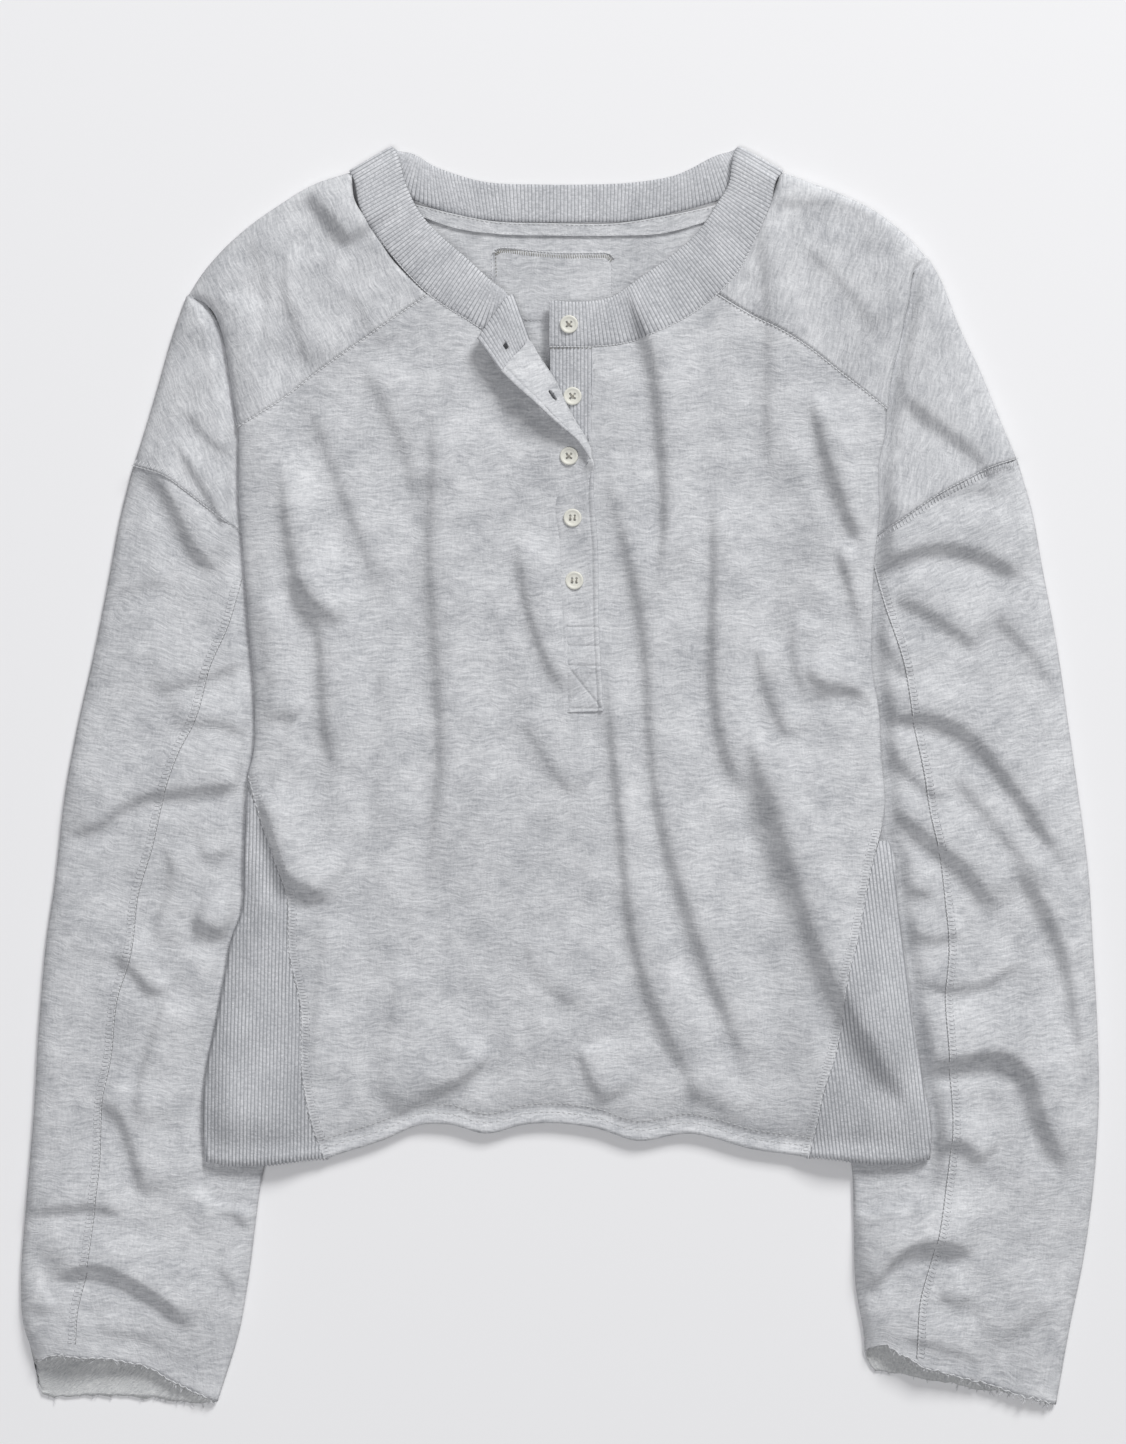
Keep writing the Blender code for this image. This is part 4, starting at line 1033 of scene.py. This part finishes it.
#        free x, free y, seam x, seam y, z at the free edge, z at the seam edge
NECKBAND = [
    (-6, 265, -6, 240, 6.0, FRONT_BAND), (11, 264, 12, 240, 6.0, FRONT_BAND),
    (29, 267, 35, 242, 6.0, FRONT_BAND), (44, 277, 58, 250, 6.0, FRONT_BAND),
    (61, 289, 80, 263, 6.0, FRONT_BAND), (78, 304, 99, 282, 6.0, FRONT_BAND),
    (88, 319, 109, 301, 5.6, 6.2), (95, 331, 117, 319, 5.0, 5.8), (98, 348, 121, 334, 4.2, 4.6),
    (100, 351.3, 124, 338, 2.6, 2.6), (98, 349.8, 119, 333.5, BACK_BAND, BACK_BAND),
    (87, 346, 96, 325, BACK_BAND, BACK_BAND), (64, 335, 64, 316, BACK_BAND, BACK_BAND),
    (39, 331, 38, 311, BACK_BAND, BACK_BAND), (14, 330, 14, 310.5, BACK_BAND, BACK_BAND),
    (-11, 330, -11, 310.5, BACK_BAND, BACK_BAND), (-45, 332, -42, 312, BACK_BAND, BACK_BAND),
    (-70, 340, -66, 317, BACK_BAND, BACK_BAND), (-82, 347, -90, 326, BACK_BAND, BACK_BAND),
    (-92, 349.8, -113, 333.5, BACK_BAND, BACK_BAND), (-94, 351.3, -117, 338, 2.6, 2.6),
    (-92, 348, -115, 334, 4.2, 4.6), (-87, 331, -111, 317, 5.0, 5.8), (-80, 316, -102, 302, 5.6, 6.2),
    (-67, 301, -86, 282, 6.0, FRONT_BAND), (-53, 289, -69, 266, 6.0, FRONT_BAND),
    (-40, 277, -53, 256, 6.0, FRONT_BAND), (-32, 271, -34, 245, 6.0, FRONT_BAND),
    (-27.9, 267.7, -18.6, 241.7, 6.2, 6.3), (-26.6, 268.2, -17.2, 242.2, 7.6, 7.6),
    (-27.9, 267.7, -18.6, 241.7, 9.0, 9.0), (-37, 256, -26, 233.5, 11.8, 12.0),
    (-45.6, 243, -32.8, 225.4, 13.6, 14.4),
]


def strip(ends, t):
    """A ribbon between two rows of end points, at the places t across it; and its cut, in millimetres."""
    grid = ends[:, None, :3] * (1 - t[None, :, None]) + ends[:, None, 3:] * t[None, :, None]
    middle = (ends[:, :3] + ends[:, 3:]) / 2
    along = np.concatenate([[0.0], np.cumsum(np.linalg.norm(np.diff(middle, axis=0), axis=1))])
    width = np.linalg.norm(ends[:, :3] - ends[:, 3:], axis=1)
    cut = np.stack([t[None, :] * width[:, None], np.repeat(along[:, None], len(t), axis=1)], axis=-1)
    return grid, cut


def spaced(count):
    """Places across a strip, closer together at its two edges."""
    return 0.5 - 0.5 * np.cos(np.pi * np.arange(count + 1) / count)


def face_of(grid, thickness, above=0.0):
    """A level function that reads the upper face of a grid, where it lies above a height."""
    points = grid[grid[..., 2] > above]

    def level(x, y):
        near = ((x[..., None] - points[:, 0]) ** 2 + (y[..., None] - points[:, 1]) ** 2).argmin(axis=-1)
        return points[near, 2] + thickness / 2

    return level


def slit(grid, x, y, half_length, half_width, angle, above=8.0):
    """Moves a grid's points out of a buttonhole's oval; returns which points they were."""
    c, s = math.cos(math.radians(angle)), math.sin(math.radians(angle))
    u = ((grid[..., 0] - x) * c + (grid[..., 1] - y) * s) / half_length
    v = ((grid[..., 1] - y) * c - (grid[..., 0] - x) * s) / half_width
    r = np.hypot(u, v)
    hit = (r < 1.0) & (grid[..., 2] > above)
    u, v = u / np.maximum(r, 0.05) * half_length, v / np.maximum(r, 0.05) * half_width
    grid[..., 0] = np.where(hit, x + u * c - v * s, grid[..., 0])
    grid[..., 1] = np.where(hit, y + u * s + v * c, grid[..., 1])
    return hit


def cut_open(made, hit):
    """Takes the cells that lie wholly within the moved points out of a piece's mesh."""
    inside = hit.reshape(-1)
    work = bmesh.new()
    work.from_mesh(made.data)
    gone = [face for face in work.faces if all(inside[corner.index] for corner in face.verts)]
    bmesh.ops.delete(work, geom=gone, context="FACES")
    work.to_mesh(made.data)
    work.free()


def worked(x, y, half_length, half_width, angle):
    """The outline of a buttonhole as rows of (x, y)."""
    a = np.linspace(0.0, 2 * np.pi, 17)
    c, s = math.cos(math.radians(angle)), math.sin(math.radians(angle))
    u, v = half_length * np.cos(a), half_width * np.sin(a)
    return np.column_stack([x + u * c - v * s, y + u * s + v * c])


# A buttonhole's middle x and y, its half length and half width, and its angle.
BAND_HOLE = (-30.2, 239.4, 2.6, 1.5, 60.0)
ends = curve(np.array(NECKBAND, float)[:, [0, 1, 4, 2, 3, 5]], BAND_STATIONS)
on_front = smooth((ends[:, 5] - 4.6) / 1.0) * (1.0 - smooth((ends[:, 5] - 6.45) / 0.6))
ends[:, 5] += on_front * (front_level(ends[:, 3], ends[:, 4]) + BAND_SEAT - ends[:, 5])
t = spaced(15)
grid, cut = strip(ends, t)
edge = rounded(np.minimum(t, 1 - t) / BAND_EDGE_RUN)
grid[..., 2] += BAND_RIB * np.cos(2 * np.pi * cut[..., 1] / RIB_PITCH) * edge
grid[..., 2] += BAND_CROWN * np.sin(np.pi * t) - BAND_ROUND * (1.0 - edge)
hit = slit(grid, *BAND_HOLE)
neckband = cloth("neckband_rib", grid, cut * MM, BAND, [band_knit], ["neckband"])
cut_open(neckband, hit)
band_top, band_end_top = face_of(grid[:1000], BAND), face_of(grid[-120:], BAND, 8.0)

NECK_SEAM = {
    "right": [(-110, 316), (-101, 302), (-86, 282), (-69, 266), (-53, 256), (-34, 245), (-21, 241)],
    "left": [(-5, 240), (12, 240), (35, 242), (58, 250), (80, 263), (99, 282), (109, 301), (116, 318)],
}
threads("neck_seam_edge", [
    running(NECK_SEAM[side], front_top, 1.9, 2.1, -0.4, 0.25) for side in ("right", "left")
], 0.32, edge_yarn)
threads("band_buttonhole_stitches", [
    crossing(worked(*BAND_HOLE), band_end_top, 0.5, -0.1, -1.1, 0.0, 0.15),
], 0.16, seam_thread)


# ---- Neck tape and patch --------------------------------------------------------------------------
# A jersey tape covers the back neck seam, twin-stitched along its edges. A square of the same jersey,
# overlocked along its top, is sewn inside the back below it.
TAPE = 0.8
TAPE_SEAT = 0.1
TAPE_BEAD = 0.35
BACK_TOP = FLOOR + CLOTH / 2
PATCH = 0.5
TAPE_LOW = [(-80, 313.5), (-58, 306), (-36, 303), (-3, 302), (31, 302), (56, 303), (86, 311)]
TAPE_HIGH = [(-82, 320), (-60, 314.5), (-36, 310), (-3, 309), (31, 309), (58, 313), (88, 319)]
PATCH_CORNERS = (-38, 254, 29, 293.5)

low, high = curve(TAPE_LOW, 90), curve(TAPE_HIGH, 90)
z = np.full((90, 1), BACK_TOP + TAPE_SEAT + TAPE / 2)
grid, cut = strip(np.concatenate([low, z, high, z], axis=1), spaced(8))
grid[..., 2] += TAPE_BEAD * np.exp(-((spaced(8) / 0.12) ** 2))
neck_tape = cloth("neck_tape_strip", grid, cut[..., ::-1] * MM, TAPE, [jersey], ["neck_tape"])


def tape_top(x, y):
    return np.full_like(x, BACK_TOP + TAPE_SEAT + TAPE)


threads("tape_stitches", [
    running(TAPE_LOW, tape_top, 2.6, 2.1, 0.9),
    running(TAPE_HIGH, tape_top, 2.6, 2.1, -0.7),
], 0.2, seam_thread)

x0, y0, x1, y1 = PATCH_CORNERS
u, v = np.meshgrid(np.linspace(x0, x1, 40), np.linspace(y0, y1, 26))
from_edge = np.minimum(np.minimum(u - x0, x1 - u), v - y0)
z = BACK_TOP + PATCH / 2 + 0.15 * rumple(u, v, 9.0, 9) - 0.6 * (1.0 - smooth(from_edge / 3.0))
grid = np.stack([u, v, z], axis=-1)
neck_patch = cloth("neck_patch_square", grid, grid[..., :2] * MM, PATCH, [jersey],
                   ["neck_patch"])
PATCH_EDGE = [(-37.1, 293), (-36, 294.3), (-33.5, 295.2), (-28.2, 295.2), (-17.4, 293.9), (-4.9, 292.7),
              (7.6, 292.3), (21, 292.5), (26.3, 292.3), (28.5, 291.4), (29.9, 290.0)]


def patch_top(x, y):
    return np.full_like(x, BACK_TOP + PATCH)


# Its top is overlocked in a browner thread under a rolled edge; its sides and foot are only tacked.
tan_thread = yarn("taupe_polyester_thread_satin", 0.6, "#8F8D84")
threads("patch_rolled_edge", [
    running(PATCH_EDGE, patch_top, 1.8, 2.0, 0.0, 0.35),
], 0.4, edge_yarn)
threads("patch_overlock", [
    crossing(PATCH_EDGE, patch_top, 1.25, -0.7, -3.2, 0.5, 0.3),
    running([(-37.4, 291.5), (-37.0, 280)], patch_top, 1.6, 1.1, 1.4, 0.2),
    running([(-4, 255.4), (28.4, 257.0)], patch_top, 2.2, 1.3, 0.0, 0.2),
], 0.23, tan_thread)
threads("patch_tacking", [
    running(line, lambda x, y: patch_top(x, y) - PATCH + 0.1, 1.9, 0.9)
    for line in ([(-38.3, 291.5), (-38.3, 272)], [(29.2, 288), (29.2, 262)], [(x0, 254.5), (x1, 254.5)])
], 0.22, edge_yarn)


# ---- Plackets -------------------------------------------------------------------------------------
# The buttonhole side is a self-faced strip whose top corner is turned back; below its foot it lies
# closed on the front. The button side is a strip of rib under it.
PLACKET = 1.4
#         inner x, inner y, inner z, free x, free y, free z
FLAP_ROWS = [
    (-20.5, 246.0, 8.5, -36.5, 229.2, 13.6), (-16.8, 242.6, 9.0, -32.8, 225.4, 14.6),
    (-10.6, 231.6, 8.9, -23.2, 216.0, 16.4), (-3.9, 221.5, 8.9, -13.5, 207.6, 16.6),
    (2.8, 207.5, 8.9, -4.5, 199.3, 15.2), (8.7, 196.5, 8.9, 3.5, 192.6, 13.0),
    (14.6, 187.5, 8.8, 10.4, 186.8, 10.8), (17.3, 181, 8.4, 15, 180.3, 9.2), (16.5, 176, 8.0, 18, 175.5, 8.2),
]
#              inner x, inner y, free x, free y
CLOSED_ROWS = [
    (9, 168, 18.2, 168), (-2, 158, 18.6, 158), (-2, 130, 20.6, 130), (0, 80, 21.6, 80), (2.4, 35, 24, 36),
]
# The strip's level over the front: tucked under at its inner edge, then rising to its free edge.
CLOSED_UNDER = -0.8
CLOSED_STEP = 1.05
CLOSED_RISE = 0.55
FREE_ROLL = 0.45
EDGE_GROOVE = 0.3
# On the turned-back corner the topstitch lies in a groove, and the free edge is rounded off.
FLAP_GROOVE = 0.45
FLAP_ROUND = 0.5
GROOVE_AT = 0.87
STITCH_SUNK = 0.5
STITCH_PULL = 0.75
FLAP_HOLE = (-4.4, 212.0, 3.6, 1.2, -53.6)
# The stitched box at the foot, with its cross.
FOOT_BOX = [
    ((3.4, 82.9), (21.2, 82.9)), ((3.6, 72.4), (21.6, 72.4)), ((3.8, 61.4), (22.2, 61.4)),
    ((4.4, 37.6), (23, 37.6)), ((3.5, 83), (4.4, 38)), ((4.0, 61.1), (22.5, 38.4)),
    ((19.8, 59.5), (5.1, 39.6)),
]


def closed_lift(t):
    """How far the closed strip lies above the front, at the place t across it."""
    rise = CLOSED_UNDER + CLOSED_STEP * smooth(t / 0.15) + CLOSED_RISE * smooth((t - 0.15) / 0.75)
    roll = FREE_ROLL * np.exp(-(((t - 0.95) / 0.035) ** 2))
    return rise + roll - EDGE_GROOVE * np.exp(-(((t - GROOVE_AT) / 0.025) ** 2))


rows = list(FLAP_ROWS)
for inner_x, inner_y, free_x, free_y in CLOSED_ROWS:
    level = front_level(np.array([inner_x, free_x], float), np.array([inner_y, free_y], float))
    level += closed_lift(np.array([0.0, 1.0]))
    rows.append((inner_x, inner_y, level[0], free_x, free_y, level[1]))
t = np.linspace(0.0, 1.0, 41)
grid, cut = strip(curve(rows, 360), t)
closed = smooth((174.0 - grid[..., 1]) / 8.0)
grid[..., 2] += closed * (front_level(grid[..., 0], grid[..., 1]) + closed_lift(t) - grid[..., 2])
groove = FLAP_GROOVE * np.exp(-(((t - GROOVE_AT) / 0.035) ** 2))
grid[..., 2] -= (1 - closed) * (groove + FLAP_ROUND * (1 - rounded((1 - t) / 0.06)))
for (ax, ay), (bx, by) in FOOT_BOX:
    step = np.array([bx - ax, by - ay])
    at = np.clip(((grid[..., 0] - ax) * step[0] + (grid[..., 1] - ay) * step[1]) / (step @ step), 0.0, 1.0)
    off = np.hypot(grid[..., 0] - ax - at * step[0], grid[..., 1] - ay - at * step[1])
    grid[..., 2] -= STITCH_SUNK * np.exp(-((off / STITCH_PULL) ** 2))
hit = slit(grid, *FLAP_HOLE)
placket = cloth("buttonhole_placket_strip", grid, turned(grid[..., :2], 12.0), PLACKET, [jersey],
                ["buttonhole_placket"])
cut_open(placket, hit)
placket_top = face_of(grid, PLACKET)
flap_edge = [(x + 1.3, y + 1.5) for _, _, _, x, y, _ in FLAP_ROWS[1:6]]
threads("placket_topstitch", [
    running([(x - 2.8, y) for _, _, x, y in CLOSED_ROWS[:-1]], placket_top, 2.4, 1.6, bow=0.1),
    running(flap_edge, placket_top, 2.4, 1.6, bow=0.15),
] + [running(line, placket_top, 2.2, 1.6, bow=0.1) for line in FOOT_BOX], 0.16, seam_thread)
threads("flap_buttonhole_stitches", [
    crossing(worked(*FLAP_HOLE), placket_top, 0.55, -0.1, -1.0, 0.0, 0.12),
], 0.15, seam_thread)

STAND = 1.2
#          y, z at its free edge, z at its seam
STAND_ROWS = [
    (242, 5.2, 5.4), (226, 4.6, 5.5), (205, 3.9, 5.3), (190, 3.0, 4.2), (178, 2.6, 2.9), (36, 2.5, 2.5),
]
STAND_EDGES = (-5.5, 20.2)
STAND_RIB = 0.15
# Its last tenth dips under the front's edge.
STAND_TUCK = 1.4
TUCK_FROM = 0.9
inner, outer = STAND_EDGES
ends = np.array([(inner, y, free_z, outer, y, seam_z) for y, free_z, seam_z in STAND_ROWS])
t = np.linspace(0.0, 1.0, 73)
grid, cut = strip(curve(ends, 90), t)
beside = smooth((grid[..., 1] - 176.0) / 14.0) * smooth(t / TUCK_FROM)
grid[..., 2] += beside * (front_level(grid[..., 0], grid[..., 1]) - grid[..., 2])
grid[..., 2] -= STAND_TUCK * smooth((t - TUCK_FROM) / (1.0 - TUCK_FROM))
grid[..., 2] += STAND_RIB * np.cos(2 * np.pi * cut[..., 0] / RIB_PITCH)
stand = cloth("button_stand_rib", grid, cut[..., ::-1] * MM, STAND, [rib_knit],
              ["button_placket"])
stand_top = face_of(grid, STAND)
threads("stand_ladder_stitches", [
    running([(-5, 238.8), (17, 238.8)], stand_top, 1.9, 1.0, bow=0.6),
], 0.22, tan_thread)


# ---- Buttons --------------------------------------------------------------------------------------
# Four-hole 16-ligne buttons with a rim and a dished middle, turned and drilled, and sewn with grey
# thread: crossed over the holes on the upper three, in two bars on the lower two.
BUTTON_RADIUS = 5.1
BUTTON_THICKNESS = 1.9
BUTTON_SEAT = 0.7
BUTTON_DISH = 0.76
HOLE_RADIUS = 0.62
HOLE_PITCH = 1.25
PLY_SPREAD = 0.18
SEWING_BOW = 0.45
SEWING_DIVE = 0.5
BUTTONS = [(5, 252, "cross"), (7, 212, "cross"), (5, 178.5, "cross"), (7, 144, "bars"), (8, 109, "bars")]
BUTTON_LEVELS = [band_top, stand_top, front_top, placket_top, placket_top]

# Cast polyester, turned: a soft satin with a faint pearly cloudiness.
cream, tree, shader = material("cream_polyester_button_satin", 0.42)
cast = add(tree, "ShaderNodeTexNoise", {"Scale": 420.0, "Detail": 2.0})
cloudy = add(tree, "ShaderNodeMix",
             {"Factor": cast.outputs["Fac"], 6: linear("#D3D2C8"), 7: linear("#DFDED5")}, data_type="RGBA")
tree.links.new(cloudy.outputs[2], shader.inputs["Base Color"])
sewing = yarn("taupe_sewing_thread_matt", 0.75, "#9C988F")

# The turned profile, from the middle of the face to the middle of the back, as shares of the radius
# and of the thickness.
r, h = BUTTON_RADIUS, BUTTON_THICKNESS
profile = [
    (0.0, BUTTON_DISH), (0.5, BUTTON_DISH), (0.62, 0.79), (0.7, 0.87), (0.78, 0.96), (0.86, 1.0),
    (0.93, 0.97), (0.98, 0.86), (1.0, 0.72), (0.97, 0.4), (0.9, 0.15), (0.6, 0.0), (0.0, 0.0),
]
outline = bpy.data.meshes.new("button_profile")
places = [(across * r * MM, 0.0, up * h * MM) for across, up in profile]
outline.from_pydata(places, [(k, k + 1) for k in range(len(profile) - 1)], [])
blank = add_object("button_blank", outline)
lathe = blank.modifiers.new("turned", "SCREW")
lathe.steps = lathe.render_steps = 48
lathe.use_merge_vertices = True
lathe.merge_threshold = 0.00001
bits = bmesh.new()
holes = [(dx * HOLE_PITCH, dy * HOLE_PITCH) for dx, dy in ((-1, -1), (1, -1), (1, 1), (-1, 1))]
for dx, dy in holes:
    bmesh.ops.create_cone(bits, cap_ends=True, segments=16, radius1=HOLE_RADIUS * MM,
                          radius2=HOLE_RADIUS * MM, depth=2 * h * MM,
                          matrix=Matrix.Translation((dx * MM, dy * MM, h / 2 * MM)))
drill_mesh = bpy.data.meshes.new("drill")
bits.to_mesh(drill_mesh)
bits.free()
drill = add_object("drill", drill_mesh)
drilled = blank.modifiers.new("drilled", "BOOLEAN")
drilled.operation = "DIFFERENCE"
drilled.object = drill
button_mesh = bpy.data.meshes.new_from_object(blank.evaluated_get(bpy.context.evaluated_depsgraph_get()))
button_mesh.materials.clear()
button_mesh.materials.append(cream)
button_mesh.shade_smooth()
for done in (blank, drill):
    bpy.data.objects.remove(done)

stitches = []
for index, ((x, y, sewn), level) in enumerate(zip(BUTTONS, BUTTON_LEVELS), start=1):
    z = float(level(np.array([float(x)]), np.array([float(y)]))[0]) - BUTTON_SEAT
    made = add_object(f"button_{index}_turned", button_mesh.copy())
    made.location = (x * MM, y * MM, z * MM)
    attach(made, "root")
    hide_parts(f"button_{index}")
    pairs = ((0, 2), (1, 3)) if sewn == "cross" else ((0, 3), (1, 2))
    t = np.linspace(-0.05, 1.05, 7)[:, None]
    for a, b in pairs:
        for shift in (-PLY_SPREAD, PLY_SPREAD):
            start, end = np.array(holes[a]) + shift, np.array(holes[b]) + shift
            run = start * (1 - t) + end * t + (x, y)
            bow = z + BUTTON_DISH * h + SEWING_BOW * np.sin(np.pi * np.clip(t, 0, 1))
            bow = bow - SEWING_DIVE * (np.abs(t - 0.5) > 0.49)
            stitches.append(np.concatenate([run, bow], axis=1)[None])
threads("button_threads", stitches, 0.24, sewing)
